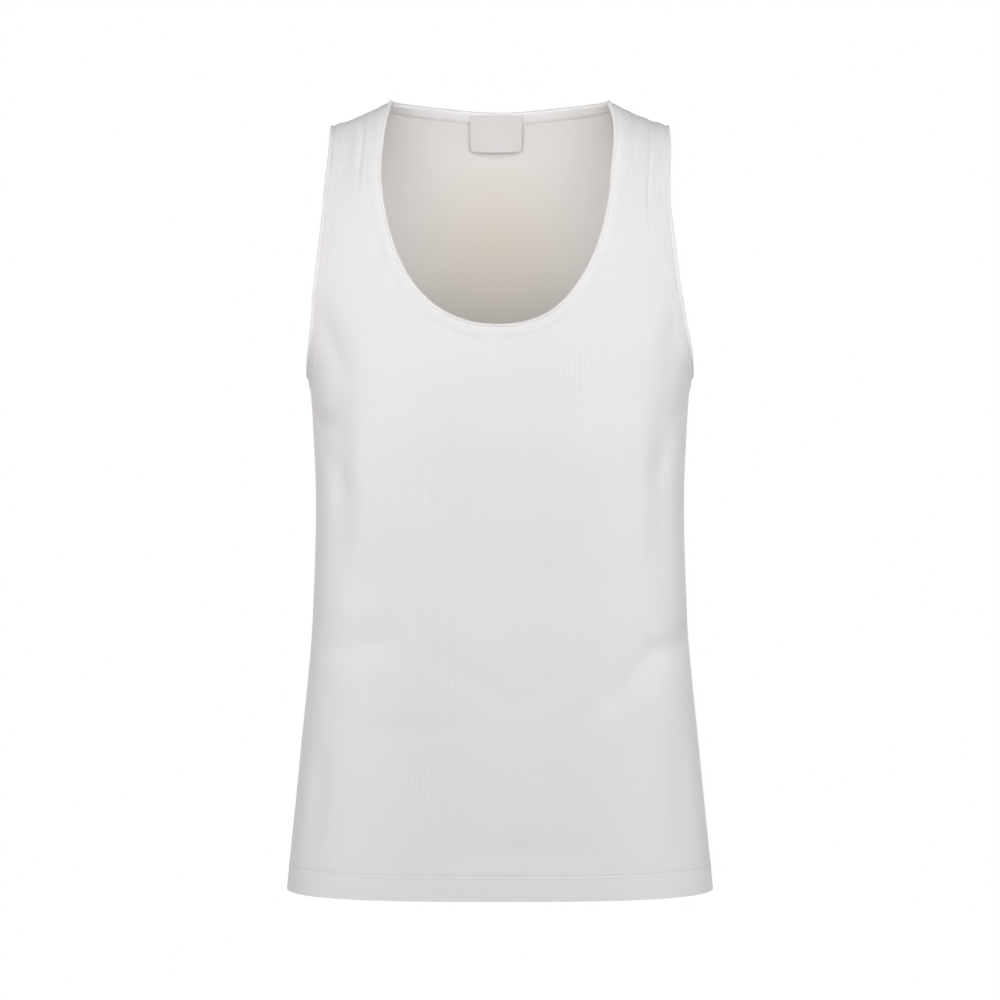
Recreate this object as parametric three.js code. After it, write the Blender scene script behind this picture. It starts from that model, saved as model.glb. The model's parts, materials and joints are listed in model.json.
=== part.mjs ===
import * as THREE from 'three';
import { mergeVertices } from 'three/addons/utils/BufferGeometryUtils.js';

// A scoop-neck tank top, women's size small, in white rib cotton. It is one hollow shell of
// cloth, open at the neck, both armholes and the hem, and filled out as if it were worn.
// Millimetres. +X runs across the shoulders, the front faces -Y, and +Z is up. The origin lies
// midway between the two straps, at the height where the shoulders carry them.

// Driving sizes
const neckPointHeight = 8;
const cloth = { wall: 1.2, ribPitch: 4.33, ribHeight: 0.5 };
const hem = { drop: 644, depth: 19.5, foldLine: 0.8 };
const strap = { inner: 89.6, outer: 137.5, fall: 20 };
const underarmDrop = 227.6;
const seamGap = 0.3;

// The neck scoop of the front panel, as half-width against drop, and the sag of the back neck
const scoop = { half: 94.8, widestDrop: 32, bottomDrop: 189.8, roundness: 2.4, fullness: 0.435 };
const backNeckSag = 2;

// Worn, the straps and the chest lean a little towards -X. The lean grows between two drops and
// ebbs between two more, and it is less at the sides, where sideShare of it is gone.
const lean = { shift: 4, start: 10, full: 70, ebb: 150, end: 215, sideShare: 0.6 };

// Self-rib bindings folded over the cut edges, with a rolled fold that stands a little proud
const binding = {
  outerWidth: 10.5,
  innerWidth: 9,
  thickness: 1.1,
  edgeGap: 0.7,
  outerGap: 0.6,
  innerGap: 0.7,
  rollWidth: 3.8,
  rollCrest: 2.3,
  rollHeight: 0.5,
  rollShoulder: 0.2,
};

// A blank woven label inside the back neck, a little off centre, its top just over the cut edge
const label = {
  width: 43,
  height: 32,
  thickness: 1,
  corner: 4,
  above: 1.5,
  aside: -3.3,
  gap: 2.8,
};

// Level sections of the shell. drop: how far below the inner strap ends. half: half the width,
// which runs on past the armhole above the underarm. front, back: depth on each side of the
// shoulder plane. frontSquare, backSquare: 2 gives an ellipse, and more gives squarer corners.
const sections = [
  { drop: 0, half: 176, front: 0, back: 0, frontSquare: 2.5, backSquare: 2.3 },
  { drop: 60, half: 176, front: 59, back: 58, frontSquare: 2.5, backSquare: 2.3 },
  { drop: 120, half: 174, front: 83, back: 79, frontSquare: 2.6, backSquare: 2.4 },
  { drop: 160, half: 170.5, front: 95, back: 87, frontSquare: 2.6, backSquare: 2.4 },
  { drop: 200, half: 163.5, front: 104, back: 91, frontSquare: 2.6, backSquare: 2.4 },
  { drop: 227.6, half: 156.4, front: 108, back: 91, frontSquare: 2.7, backSquare: 2.4 },
  { drop: 262, half: 153.3, front: 108, back: 88, frontSquare: 2.8, backSquare: 2.5 },
  { drop: 330, half: 150.5, front: 102, back: 80, frontSquare: 3.1, backSquare: 2.5 },
  { drop: 420, half: 153, front: 96, back: 77, frontSquare: 3.2, backSquare: 2.6 },
  { drop: 530, half: 163, front: 96, back: 84, frontSquare: 3, backSquare: 2.6 },
  { drop: 644, half: 174.6, front: 99, back: 93, frontSquare: 2.8, backSquare: 2.6 },
];

// Where the armhole cuts the panels: half-width of the cut edge against drop
const armhole = [
  { drop: 20, half: 137.5 },
  { drop: 52, half: 137.9 },
  { drop: 86, half: 138.6 },
  { drop: 120, half: 141.8 },
  { drop: 152, half: 145.2 },
  { drop: 183, half: 149.9 },
  { drop: 212, half: 154.2 },
  { drop: 227.6, half: 156.4 },
];

// Largest folds, as soft troughs. across, drop: the middle of each end, with across measured
// along the cloth from the centre line. width: how wide a trough is. depth: how deep.
const frontFolds = [
  { across: -117, drop: 12, toAcross: -114, toDrop: 100, width: 7, depth: 1.6 },
  { across: 126, drop: 10, toAcross: 122, toDrop: 104, width: 8, depth: 1.8 },
  { across: 110, drop: 28, toAcross: 107, toDrop: 80, width: 9, depth: 1 },
  { across: -168, drop: 262, toAcross: -128, toDrop: 330, width: 22, depth: 3.2 },
  { across: 164, drop: 254, toAcross: 126, toDrop: 318, width: 20, depth: 3 },
  { across: -152, drop: 470, toAcross: -82, toDrop: 430, width: 30, depth: 2.6 },
  { across: 158, drop: 415, toAcross: 52, toDrop: 520, width: 34, depth: 3 },
  { across: -70, drop: 292, toAcross: -26, toDrop: 332, width: 12, depth: 1.2 },
];
const backFolds = [
  { across: 118, drop: 14, toAcross: 112, toDrop: 96, width: 8, depth: 1.6 },
  { across: -124, drop: 12, toAcross: -119, toDrop: 88, width: 8, depth: 1.5 },
  { across: -150, drop: 268, toAcross: -96, toDrop: 352, width: 26, depth: 3 },
  { across: 154, drop: 260, toAcross: 88, toDrop: 372, width: 28, depth: 3.2 },
  { across: 60, drop: 360, toAcross: -70, toDrop: 402, width: 30, depth: 3.4 },
  { across: -50, drop: 316, toAcross: 84, toDrop: 338, width: 24, depth: 2.4 },
  { across: -140, drop: 520, toAcross: -64, toDrop: 462, width: 30, depth: 2.4 },
];

// Rows of points. Body rows run level round the garment. Strap rows fall from the drop of
// their inner end, at the neck or the centre line, to the drop of their armhole end.
const bodyLevels = [hem.drop, hem.drop - hem.depth, 530, 420, 330, 262];
const frontStrapRows = [
  { inner: 160, outer: 202 },
  { inner: 146, outer: 182 },
  { inner: 130, outer: 160 },
  { inner: 110, outer: 134 },
  { inner: 88, outer: 106 },
  { inner: 66, outer: 80 },
  { inner: 46, outer: 56 },
  { inner: 29, outer: 34 },
  { inner: 17, outer: 18 },
];
const backWideRows = [
  { inner: 160, outer: 202 },
  { inner: 138, outer: 180 },
  { inner: 116, outer: 150 },
  { inner: 92, outer: 112 },
  { inner: 66, outer: 76 },
];
const shoulderLevels = [9.6, 5.5, 2.5, 0.8, 0];
const backNeckBlends = [0.5, 0.2];
const lineSamples = 240;

const whiteCotton = { color: 0xe9e7e4, roughness: 0.85, metalness: 0 };
const paleTape = { color: 0xcfcac6, roughness: 0.7, metalness: 0 };

function clamp(value, low, high) {
  return Math.min(high, Math.max(low, value));
}

function smoothStep(value, low, high) {
  const t = clamp((value - low) / (high - low), 0, 1);
  return t * t * (3 - 2 * t);
}

// Smooth value of one column of a table that is ordered by drop, without overshoot
function fromTable(table, valueOf, drop) {
  const last = table.length - 1;
  const at = clamp(drop, table[0].drop, table[last].drop);
  let i = 0;
  while (i < last - 1 && table[i + 1].drop < at) i += 1;
  const step = table[i + 1].drop - table[i].drop;
  const slopeAfter = (j) =>
    (valueOf(table[j + 1]) - valueOf(table[j])) / (table[j + 1].drop - table[j].drop);
  const slopeAt = (j) => {
    if (j === 0) return slopeAfter(0);
    if (j === last) return slopeAfter(last - 1);
    const before = slopeAfter(j - 1);
    const after = slopeAfter(j);
    return before * after > 0 ? (2 * before * after) / (before + after) : 0;
  };
  const t = (at - table[i].drop) / step;
  const t2 = t * t;
  const t3 = t2 * t;
  return (
    valueOf(table[i]) * (2 * t3 - 3 * t2 + 1) +
    step * slopeAt(i) * (t3 - 2 * t2 + t) +
    valueOf(table[i + 1]) * (3 * t2 - 2 * t3) +
    step * slopeAt(i + 1) * (t3 - t2)
  );
}

// Height of the shoulder line above the inner strap ends. It falls outward, and is rounded
// where the two slopes would meet above the neck.
const ridgeRound = 30;
const ridgeSlope =
  strap.fall / (Math.hypot(strap.outer, ridgeRound) - Math.hypot(strap.inner, ridgeRound));
function ridge(x) {
  return ridgeSlope * (Math.hypot(strap.inner, ridgeRound) - Math.hypot(x, ridgeRound));
}

// The slope of the shoulders fades out down the chest, where rows run level
const shoulderReach = 180;
function shoulderShare(drop) {
  return 1 - smoothStep(drop, 0, shoulderReach);
}

// Half of one level section as points from the centre line to the side, with length along it
const sectionLines = new Map();
function sectionLine(panel, drop) {
  const key = `${panel.depth} ${drop}`;
  if (!sectionLines.has(key)) {
    const half = fromTable(sections, (row) => row.half, drop);
    const depth = Math.sqrt(fromTable(sections, (row) => row[panel.depth] ** 2, drop));
    const power = 2 / fromTable(sections, (row) => row[panel.square], drop);
    const line = [];
    for (let i = 0; i <= lineSamples; i += 1) {
      const angle = (i / lineSamples) * (Math.PI / 2);
      const x = half * Math.sin(angle) ** power;
      const y = i === lineSamples ? 0 : depth * Math.cos(angle) ** power;
      const before = line[i - 1];
      line.push({ x, y, along: before ? before.along + Math.hypot(x - before.x, y - before.y) : 0 });
    }
    sectionLines.set(key, line);
  }
  return sectionLines.get(key);
}

// Point of a section where the named coordinate, x or along, has the given value
function onSection(panel, drop, coordinate, value) {
  const line = sectionLine(panel, drop);
  let low = 0;
  let high = line.length - 1;
  while (high - low > 1) {
    const middle = Math.floor((low + high) / 2);
    if (line[middle][coordinate] <= value) low = middle;
    else high = middle;
  }
  const t = (value - line[low][coordinate]) / (line[high][coordinate] - line[low][coordinate]);
  const mix = (name) => line[low][name] + t * (line[high][name] - line[low][name]);
  return { x: mix('x'), y: mix('y'), along: mix('along') };
}

function lengthToSide(panel, drop) {
  return sectionLine(panel, drop)[lineSamples].along;
}

function leanAt(x, drop) {
  const grown = smoothStep(drop, lean.start, lean.full);
  const left = 1 - smoothStep(drop, lean.ebb, lean.end);
  return lean.shift * grown * left * (1 - lean.sideShare * (x / sections[0].half) ** 2);
}

// A point of the plain surface. across is measured along the cloth from the centre line at the
// underarm, and below it the rib columns spread or close with the width of the panel.
function surfacePoint(panel, across, drop) {
  const spread = drop > underarmDrop ? lengthToSide(panel, drop) / panel.side : 1;
  const point = onSection(panel, drop, 'along', Math.abs(across) * spread);
  const z = neckPointHeight + ridge(point.x) * shoulderShare(drop) - drop;
  const x = Math.sign(across) * point.x - leanAt(point.x, drop);
  return new THREE.Vector3(x, panel.facing * point.y, z);
}

const acrossStep = 0.6;
const dropStep = 0.3;
function slopes(panel, across, drop) {
  const upper = Math.max(0, drop - dropStep);
  const lower = Math.min(hem.drop, drop + dropStep);
  const alongRow = surfacePoint(panel, across + acrossStep, drop)
    .sub(surfacePoint(panel, across - acrossStep, drop))
    .divideScalar(2 * acrossStep);
  const downRow = surfacePoint(panel, across, lower)
    .sub(surfacePoint(panel, across, upper))
    .divideScalar(lower - upper);
  return { alongRow, downRow };
}

function outward(panel, across, drop) {
  const { alongRow, downRow } = slopes(panel, across, drop);
  return downRow.cross(alongRow).multiplyScalar(-panel.facing).normalize();
}

// Depth of the folds at a place: each is a soft trough that fades out towards its two ends
const foldFade = 0.3;
const foldOverrun = 0.15;
const foldSharpness = 4;
function foldDepth(panel, across, drop) {
  let depth = 0;
  for (const fold of panel.folds) {
    const run = { x: fold.toAcross - fold.across, y: fold.toDrop - fold.drop };
    const length = Math.hypot(run.x, run.y);
    const from = { x: across - fold.across, y: drop - fold.drop };
    const t = (from.x * run.x + from.y * run.y) / (length * length);
    const aside = (from.x * run.y - from.y * run.x) / length;
    const start = smoothStep(t, -foldOverrun, foldFade);
    const end = 1 - smoothStep(t, 1 - foldFade, 1 + foldOverrun);
    depth += fold.depth * start * end * Math.exp(-((aside / fold.width) ** 2) * foldSharpness);
  }
  return depth;
}

function ribRise(across) {
  const phase = Math.abs(across / cloth.ribPitch) % 1;
  return cloth.ribHeight * Math.abs(1 - 2 * phase);
}

// A point of the folded cloth, moved out from its plain surface
function clothPoint(panel, across, drop, out) {
  const point = surfacePoint(panel, across, drop);
  const lift = out - foldDepth(panel, across, drop);
  return point.addScaledVector(outward(panel, across, drop), lift);
}

// Edges, as the across of the cut at a given row and the row of the cut at a given across
function armholeAcross(panel, drop) {
  const trueDrop = drop - ridge(strap.outer) * shoulderShare(drop);
  const half = fromTable(armhole, (row) => row.half, trueDrop);
  return Math.min(onSection(panel, drop, 'x', half).along, lengthToSide(panel, drop));
}

function frontNeckAcross(drop) {
  if (drop < scoop.widestDrop) {
    const rise = 1 - drop / scoop.widestDrop;
    return scoop.half - (scoop.half - strap.inner) * rise * rise;
  }
  const t = clamp((drop - scoop.widestDrop) / (scoop.bottomDrop - scoop.widestDrop), 0, 1);
  return scoop.half * (1 - t ** scoop.roundness) ** scoop.fullness;
}

function backNeckDrop(across) {
  const share = clamp(Math.abs(across) / strap.inner, 0, 1);
  return backNeckSag * (1 - share * share) + Math.max(0, ridge(Math.abs(across)));
}

// Finds where a falling function reaches zero
const bisections = 50;
function bisect(low, high, valueAt) {
  let from = low;
  let to = high;
  for (let i = 0; i < bisections; i += 1) {
    const middle = (from + to) / 2;
    if (valueAt(middle) > 0) from = middle;
    else to = middle;
  }
  return (from + to) / 2;
}

const front = {
  facing: -1,
  depth: 'front',
  square: 'frontSquare',
  folds: frontFolds,
  neckAcross: frontNeckAcross,
  neckDrop: (across) =>
    bisect(scoop.widestDrop, scoop.bottomDrop, (drop) => frontNeckAcross(drop) - Math.abs(across)),
};
const back = {
  facing: 1,
  depth: 'back',
  square: 'backSquare',
  folds: backFolds,
  neckAcross: (drop) => bisect(0, strap.inner, (across) => backNeckDrop(across) - drop),
  neckDrop: backNeckDrop,
};
for (const panel of [front, back]) {
  panel.side = lengthToSide(panel, underarmDrop);
  panel.armholeDrop = (across) =>
    bisect(0, underarmDrop, (drop) => Math.abs(across) - armholeAcross(panel, drop));
}

// A row of a panel: its drop at a given across, its two ends, and the part of it under the
// next row up, which is shorter where the row turns along the neck or the armhole.
function rowOf(dropAt, from, to, innerFrom = from, innerTo = to) {
  return { dropAt, from, to, innerFrom, innerTo };
}

function levelRow(level, to) {
  return rowOf(() => level, 0, to);
}

function fallingRow(panel, { inner, outer }, from) {
  const to = armholeAcross(panel, outer);
  const fall = (outer - inner) / (to - from);
  return rowOf((across) => clamp(inner + fall * (across - from), inner, outer), from, to);
}

function strapRow(panel, ends) {
  return fallingRow(panel, ends, panel.neckAcross(ends.inner));
}

// The row at the foot of the straps or of the upper back, which turns along the cut edges
function turningRow(panel, row) {
  const dropAt = (across) => {
    if (across < row.from) return panel.neckDrop(across);
    if (across > row.to) return panel.armholeDrop(across);
    return row.dropAt(across);
  };
  return rowOf(dropAt, 0, panel.side, row.from, row.to);
}

function rowBetween(upper, lower, share, to) {
  return rowOf((at) => upper.dropAt(at) * (1 - share) + lower.dropAt(at) * share, 0, to);
}

function bodyRows(panel, foot) {
  const rows = bodyLevels.map((level) => levelRow(level, panel.side));
  const turning = turningRow(panel, foot);
  return [...rows, rowBetween(turning, rows[rows.length - 1], 0.5, panel.side), turning];
}

function shoulderRows(panel, levels) {
  return levels.map((level) => strapRow(panel, { inner: level, outer: level }));
}

function backNeckRows(lower) {
  const [level] = shoulderLevels;
  const neckEnd = back.neckAcross(level);
  const to = armholeAcross(back, level);
  const dropAt = (across) => (across < neckEnd ? back.neckDrop(across) : level);
  const neckRow = rowOf(dropAt, 0, to, neckEnd, to);
  const blends = backNeckBlends.map((share) => {
    const outerDrop = level * (1 - share) + lower.dropAt(lower.to) * share;
    return rowBetween(neckRow, lower, share, armholeAcross(back, outerDrop));
  });
  return [...blends, neckRow];
}

const frontStraps = frontStrapRows.map((ends) => strapRow(front, ends));
front.rows = [
  ...bodyRows(front, frontStraps[0]),
  ...frontStraps.slice(1),
  ...shoulderRows(front, shoulderLevels),
];
const backWide = backWideRows.map((ends) => fallingRow(back, ends, 0));
back.rows = [
  ...bodyRows(back, backWide[0]),
  ...backWide.slice(1),
  ...backNeckRows(backWide[backWide.length - 1]),
  ...shoulderRows(back, shoulderLevels.slice(1)),
];

// Rib crests and troughs on the outer face
function ribColumns(from, to) {
  const step = cloth.ribPitch / 2;
  const columns = [];
  for (let i = Math.ceil(from / step); i * step < to; i += 1) columns.push(i * step);
  return columns;
}

// Columns of the plain inner face, closer together where the sides turn
const plainTurn = 95;
function plainColumns(from, to) {
  const columns = [];
  for (let across = 0; across < to; across += cloth.ribPitch * (across < plainTurn ? 3 : 2)) {
    if (across > from) columns.push(across);
  }
  return columns;
}

const sameSpot = 0.4;
const halfGap = seamGap / 2;

// One row of points over the right or left half of a panel. Each point keeps its place on the
// cloth, so that lines of different spacing can be joined in order.
function rowPoints(panel, sign, row, face) {
  const ends = [row.from, row.innerFrom, row.innerTo, row.to];
  const columns = face
    .columnsOf(row.from, row.to)
    .filter((across) => ends.every((end) => Math.abs(across - end) > sameSpot));
  const places = [...new Set([...ends, ...columns])].sort((a, b) => a - b);
  return places.map((across) => {
    const drop = row.dropAt(across);
    const point = clothPoint(panel, sign * across, drop, face.outAt(across, drop));
    point.y = panel.facing * Math.max(halfGap, panel.facing * point.y);
    return { point, across, drop };
  });
}

// Fills the strip between two lines of points, stepping along whichever line is behind
function fillStrip(triangles, lower, upper, orderOf) {
  let a = 0;
  let b = 0;
  while (a < lower.length - 1 || b < upper.length - 1) {
    const upperDone = b === upper.length - 1;
    const lowerNext = a < lower.length - 1 ? orderOf(lower[a + 1]) : Infinity;
    if (upperDone || lowerNext <= orderOf(upper[b + 1])) {
      triangles.push([lower[a].point, lower[a + 1].point, upper[b].point]);
      a += 1;
    } else {
      triangles.push([lower[a].point, upper[b + 1].point, upper[b].point]);
      b += 1;
    }
  }
}

function between(line, from, to) {
  return line.filter((spot) => spot.across >= from && spot.across <= to);
}

// The four runs of a half panel's edge: hem, side with armhole, shoulder, and neck
function edgeRuns(rows, lines) {
  const last = rows.length - 1;
  const hemRun = lines[0];
  const outerRun = [];
  const neckRun = [];
  rows.forEach((row, i) => {
    const beyond = lines[i].filter((spot) => spot.across >= row.innerTo);
    outerRun.push(...beyond.reverse());
    if (row.from > 0 || row.innerFrom > 0) {
      neckRun.push(...lines[i].filter((spot) => spot.across <= row.innerFrom));
    }
  });
  const bottomDrop = Math.max(...neckRun.map((spot) => spot.drop));
  const centreRow = neckRun.findIndex((spot) => spot.drop === bottomDrop);
  return [
    { run: hemRun, orderOf: (spot) => spot.across },
    { run: outerRun, orderOf: (spot) => -spot.across - spot.drop },
    { run: [...lines[last]].reverse(), orderOf: (spot) => -spot.across },
    { run: neckRun.slice(centreRow).reverse(), orderOf: (spot) => spot.drop - spot.across },
  ];
}

function faceOf(panel, sign, rows, face) {
  const lines = rows.map((row) => rowPoints(panel, sign, row, face));
  const triangles = [];
  for (let i = 0; i < rows.length - 1; i += 1) {
    const lower = between(lines[i], rows[i].innerFrom, rows[i].innerTo);
    fillStrip(triangles, lower, lines[i + 1], (spot) => spot.across);
  }
  return { triangles, edges: edgeRuns(rows, lines) };
}

function roundedPoint(point) {
  const scale = 1e4;
  return [point.x, point.y, point.z].map((value) => Math.round(value * scale) / scale);
}

// One closed body from its triangles, which share their corner points
function closedBody(name, triangles, finish) {
  const positions = [];
  for (const corners of triangles) {
    const places = corners.map(roundedPoint);
    const keys = new Set(places.map((place) => place.join(' ')));
    if (keys.size === corners.length) positions.push(...places.flat());
  }
  const soup = new THREE.BufferGeometry();
  soup.setAttribute('position', new THREE.Float32BufferAttribute(positions, 3));
  const geometry = mergeVertices(soup);
  geometry.computeVertexNormals();
  const mesh = new THREE.Mesh(geometry, new THREE.MeshStandardMaterial(finish));
  mesh.name = name;
  return mesh;
}

function turnedOver(triangles) {
  return triangles.map(([a, b, c]) => [a, c, b]);
}

// A panel: ribs raised on its outer face, a plain inner face, and the turned-up hem inside
function panelBody(name, panel) {
  const outerFace = { columnsOf: ribColumns, outAt: (across) => ribRise(across) };
  const hemTop = hem.drop - hem.depth;
  const innerFace = {
    columnsOf: plainColumns,
    outAt: (across, drop) => -cloth.wall * (drop > hemTop ? 2 : 1),
  };
  const foldRow = levelRow(hemTop + hem.foldLine, panel.side);
  const innerRows = [panel.rows[0], foldRow, ...panel.rows.slice(1)];
  const all = [];
  for (const sign of [1, -1]) {
    const outer = faceOf(panel, sign, panel.rows, outerFace);
    const inner = faceOf(panel, sign, innerRows, innerFace);
    const half = [...outer.triangles, ...turnedOver(inner.triangles)];
    outer.edges.forEach((edge, i) => {
      fillStrip(half, inner.edges[i].run, edge.run, edge.orderOf);
    });
    all.push(...(sign * panel.facing < 0 ? half : turnedOver(half)));
  }
  return closedBody(name, all, whiteCotton);
}

// A point moved out from the flat facets between the rows, so that a band lies along them
const bandReach = 30;
function facetPoint(panel, across, drop, out) {
  const wide = Math.abs(across);
  const reached = panel.rows.filter(
    (row) => wide >= row.from - bandReach && wide <= row.to + bandReach,
  );
  const upper = reached.find((row) => row.dropAt(wide) <= drop);
  const lower = [...reached].reverse().find((row) => row.dropAt(wide) > drop);
  if (!upper || !lower) return clothPoint(panel, across, drop, out);
  const top = upper.dropAt(wide);
  const bottom = lower.dropAt(wide);
  const t = (drop - top) / (bottom - top);
  const point = clothPoint(panel, across, top, 0).lerp(clothPoint(panel, across, bottom, 0), t);
  return point.addScaledVector(outward(panel, across, drop), out);
}

// Section of a folded binding. into: distance from the cut edge into the cloth, negative past
// the edge. out: distance from the plain surface, positive on the outside.
function bindingSection() {
  const outside = cloth.ribHeight + binding.outerGap;
  const inside = cloth.wall + binding.innerGap;
  const past = binding.edgeGap + binding.thickness;
  const { thickness, outerWidth, innerWidth, rollWidth, rollCrest } = binding;
  return [
    { into: outerWidth, out: outside },
    { into: outerWidth, out: outside + thickness },
    { into: rollWidth, out: outside + thickness },
    { into: rollCrest, out: outside + thickness + binding.rollHeight },
    { into: 0, out: outside + thickness + binding.rollShoulder },
    { into: -past, out: outside },
    { into: -past, out: -inside },
    { into: 0, out: -inside - thickness },
    { into: innerWidth, out: -inside - thickness },
    { into: innerWidth, out: -inside },
    { into: -binding.edgeGap, out: -inside },
    { into: -binding.edgeGap, out: outside },
    { into: outerWidth / 2, out: outside },
  ];
}

// The way into the cloth from its edge, as a step across and a step down per millimetre. Along
// a row that meets the edge aslant, the step is longer, so that the band keeps its width.
const leastSlant = 0.6;
function wayIn(station, along) {
  const { alongRow, downRow } = slopes(station.panel, station.across, station.drop);
  const normal = outward(station.panel, station.across, station.drop);
  const inward = new THREE.Vector3().crossVectors(along, normal).normalize();
  if (station.onRow) {
    const row = alongRow.addScaledVector(downRow, station.fall * Math.sign(station.across));
    const skew = Math.max(leastSlant, Math.abs(inward.dot(row)) / row.length());
    const across = Math.sign(inward.dot(row)) / row.length() / skew;
    return { across, drop: across * station.fall * Math.sign(station.across) };
  }
  const a = alongRow.dot(alongRow);
  const b = alongRow.dot(downRow);
  const c = downRow.dot(downRow);
  const p = inward.dot(alongRow);
  const q = inward.dot(downRow);
  const scale = 1 / (a * c - b * b);
  return { across: (p * c - q * b) * scale, drop: (q * a - p * b) * scale };
}

// A folded binding round a closed edge. sign turns the band over on the left side.
function bindingBody(name, stations, sign) {
  const section = bindingSection();
  const count = stations.length;
  const basePoint = ({ panel, across, drop }) => clothPoint(panel, across, drop, 0);
  const base = stations.map(basePoint);
  const rings = stations.map((station, i) => {
    const along = new THREE.Vector3().subVectors(
      base[(i + 1) % count],
      base[(i + count - 1) % count],
    );
    const step = wayIn(station, along.multiplyScalar(sign));
    return section.map(({ into, out }) => {
      const reach = Math.max(into, 0);
      const across = station.across + step.across * reach;
      const drop = Math.max(0, station.drop + step.drop * reach);
      const point = facetPoint(station.panel, across, drop, out);
      const edge = facetPoint(station.panel, station.across, station.drop, 0);
      const inner = facetPoint(
        station.panel,
        station.across + step.across,
        Math.max(0, station.drop + step.drop),
        0,
      );
      const off = edge.sub(inner).normalize();
      return point.addScaledVector(off, Math.max(-into, 0));
    });
  });
  const triangles = [];
  for (let i = 0; i < count; i += 1) {
    const ring = rings[i];
    const next = rings[(i + 1) % count];
    for (let j = 0; j < section.length; j += 1) {
      const k = (j + 1) % section.length;
      triangles.push([ring[j], next[j], next[k]], [ring[j], next[k], ring[k]]);
    }
  }
  return closedBody(name, sign > 0 ? triangles : turnedOver(triangles), whiteCotton);
}

function evenSteps(from, to, spacing) {
  const count = Math.round(Math.abs(to - from) / spacing);
  return Array.from({ length: count - 1 }, (_, i) => from + ((to - from) * (i + 1)) / count);
}

// Stations of a binding, evenly spaced in length along one stretch of a cut edge
const stationSpacing = 7;
const edgeSamples = 80;
function edgeSpots(panel, from, to, dropAt) {
  const samples = [];
  for (let i = 0; i <= edgeSamples; i += 1) {
    const across = from + ((to - from) * i) / edgeSamples;
    const drop = dropAt(across);
    const point = surfacePoint(panel, across, drop);
    const before = samples[i - 1];
    const length = before ? before.length + point.distanceTo(before.point) : 0;
    samples.push({ across, drop, point, length });
  }
  const total = samples[edgeSamples].length;
  const count = Math.round(total / stationSpacing);
  const spots = [];
  for (let i = 1; i < count; i += 1) {
    const { across } = samples.find((sample) => sample.length >= (total * i) / count);
    spots.push({ panel, across, drop: dropAt(across) });
  }
  return spots;
}

// The end of a row on a cut edge. Where rows end squarely on the edge, the band lies along them.
function rowSpot(panel, row, across, onRow) {
  const run = row.innerTo - row.innerFrom;
  const fall = (row.dropAt(row.innerTo) - row.dropAt(row.innerFrom)) / run;
  return { panel, across, drop: row.dropAt(across), fall, onRow };
}

// Stations round one armhole: down the front strap, under the arm, and up the back strap
function armholeStations(sign) {
  const sideOf = (panel) => {
    const foot = panel.rows.find((row) => row.innerTo < panel.side);
    const upperRows = panel.rows.slice(panel.rows.indexOf(foot)).reverse();
    return [
      ...upperRows.map((row) => rowSpot(panel, row, row.innerTo, true)),
      ...edgeSpots(panel, foot.innerTo, panel.side, panel.armholeDrop),
    ];
  };
  const underarm = { panel: front, across: front.side, drop: underarmDrop };
  const spots = [...sideOf(front), underarm, ...sideOf(back).slice(1).reverse()];
  return spots.map((spot) => ({ ...spot, across: sign * spot.across }));
}

// Stations round the neck: the front scoop from its middle, a strap, and the back neck
function neckStations() {
  const halfOf = (panel, alignable) => {
    const foot = panel.rows.find((row) => row.innerFrom > 0);
    const upperRows = panel.rows.slice(panel.rows.indexOf(foot));
    return [
      { panel, across: 0, drop: panel.neckDrop(0) },
      ...edgeSpots(panel, 0, foot.innerFrom, panel.neckDrop),
      ...upperRows.map((row) => rowSpot(panel, row, row.innerFrom, alignable)),
    ];
  };
  const right = [...halfOf(front, true), ...halfOf(back, false).slice(0, -1).reverse()];
  const left = right.slice(1, -1).map((spot) => ({ ...spot, across: -spot.across }));
  return [...right, ...left.reverse()];
}

// The label: a flat tape hung from the back neck, its lower corners rounded
function labelBody() {
  const top = back.neckDrop(0) - label.above;
  const inside = cloth.wall + binding.innerGap + binding.thickness + label.gap;
  const half = label.width / 2;
  const steps = [0, 0.35, 0.7, 1];
  const outline = [{ x: -half, down: 0 }, { x: half, down: 0 }];
  for (const [side, start] of [[1, 0], [-1, Math.PI / 2]]) {
    for (const step of steps) {
      const angle = start + (step * Math.PI) / 2;
      const x = side * (half - label.corner) + label.corner * Math.cos(angle);
      const down = label.height - label.corner + label.corner * Math.sin(angle);
      outline.push({ x, down });
    }
  }
  const hang = clothPoint(back, 0, top, -inside);
  const foot = clothPoint(back, 0, top + label.height, -inside);
  const downward = foot.sub(hang).normalize();
  const face = new THREE.Vector3().crossVectors(new THREE.Vector3(1, 0, 0), downward);
  const place = ({ x, down }, depth) =>
    hang
      .clone()
      .addScaledVector(downward, down)
      .addScaledVector(face, -depth)
      .add(new THREE.Vector3(x + label.aside, 0, 0));
  const near = outline.map((spot) => place(spot, 0));
  const far = outline.map((spot) => place(spot, label.thickness));
  const triangles = [];
  for (let i = 0; i < outline.length; i += 1) {
    const j = (i + 1) % outline.length;
    triangles.push([near[i], far[i], far[j]], [near[i], far[j], near[j]]);
    if (i > 0 && j > 0) triangles.push([near[0], near[i], near[j]], [far[0], far[j], far[i]]);
  }
  return closedBody('neck_label', triangles, paleTape);
}

const tankTop = new THREE.Group();
tankTop.add(
  panelBody('front_panel', front),
  panelBody('back_panel', back),
  bindingBody('neck_binding', neckStations(), 1),
  bindingBody('armhole_binding_right', armholeStations(1), 1),
  bindingBody('armhole_binding_left', armholeStations(-1), -1),
  labelBody(),
);

export default tankTop;
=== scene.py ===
# %% [markdown]
# This lesson dresses a white rib-knit tank top. The frame is the pattern maker's plain model,
# and every piece made here lies on its form. The frame comes first, and its box is kept and
# printed at the end.

# %% Load the frame
import json
import math
from types import SimpleNamespace

import bmesh
import bpy
import numpy as np
from mathutils import Matrix, Vector

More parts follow.
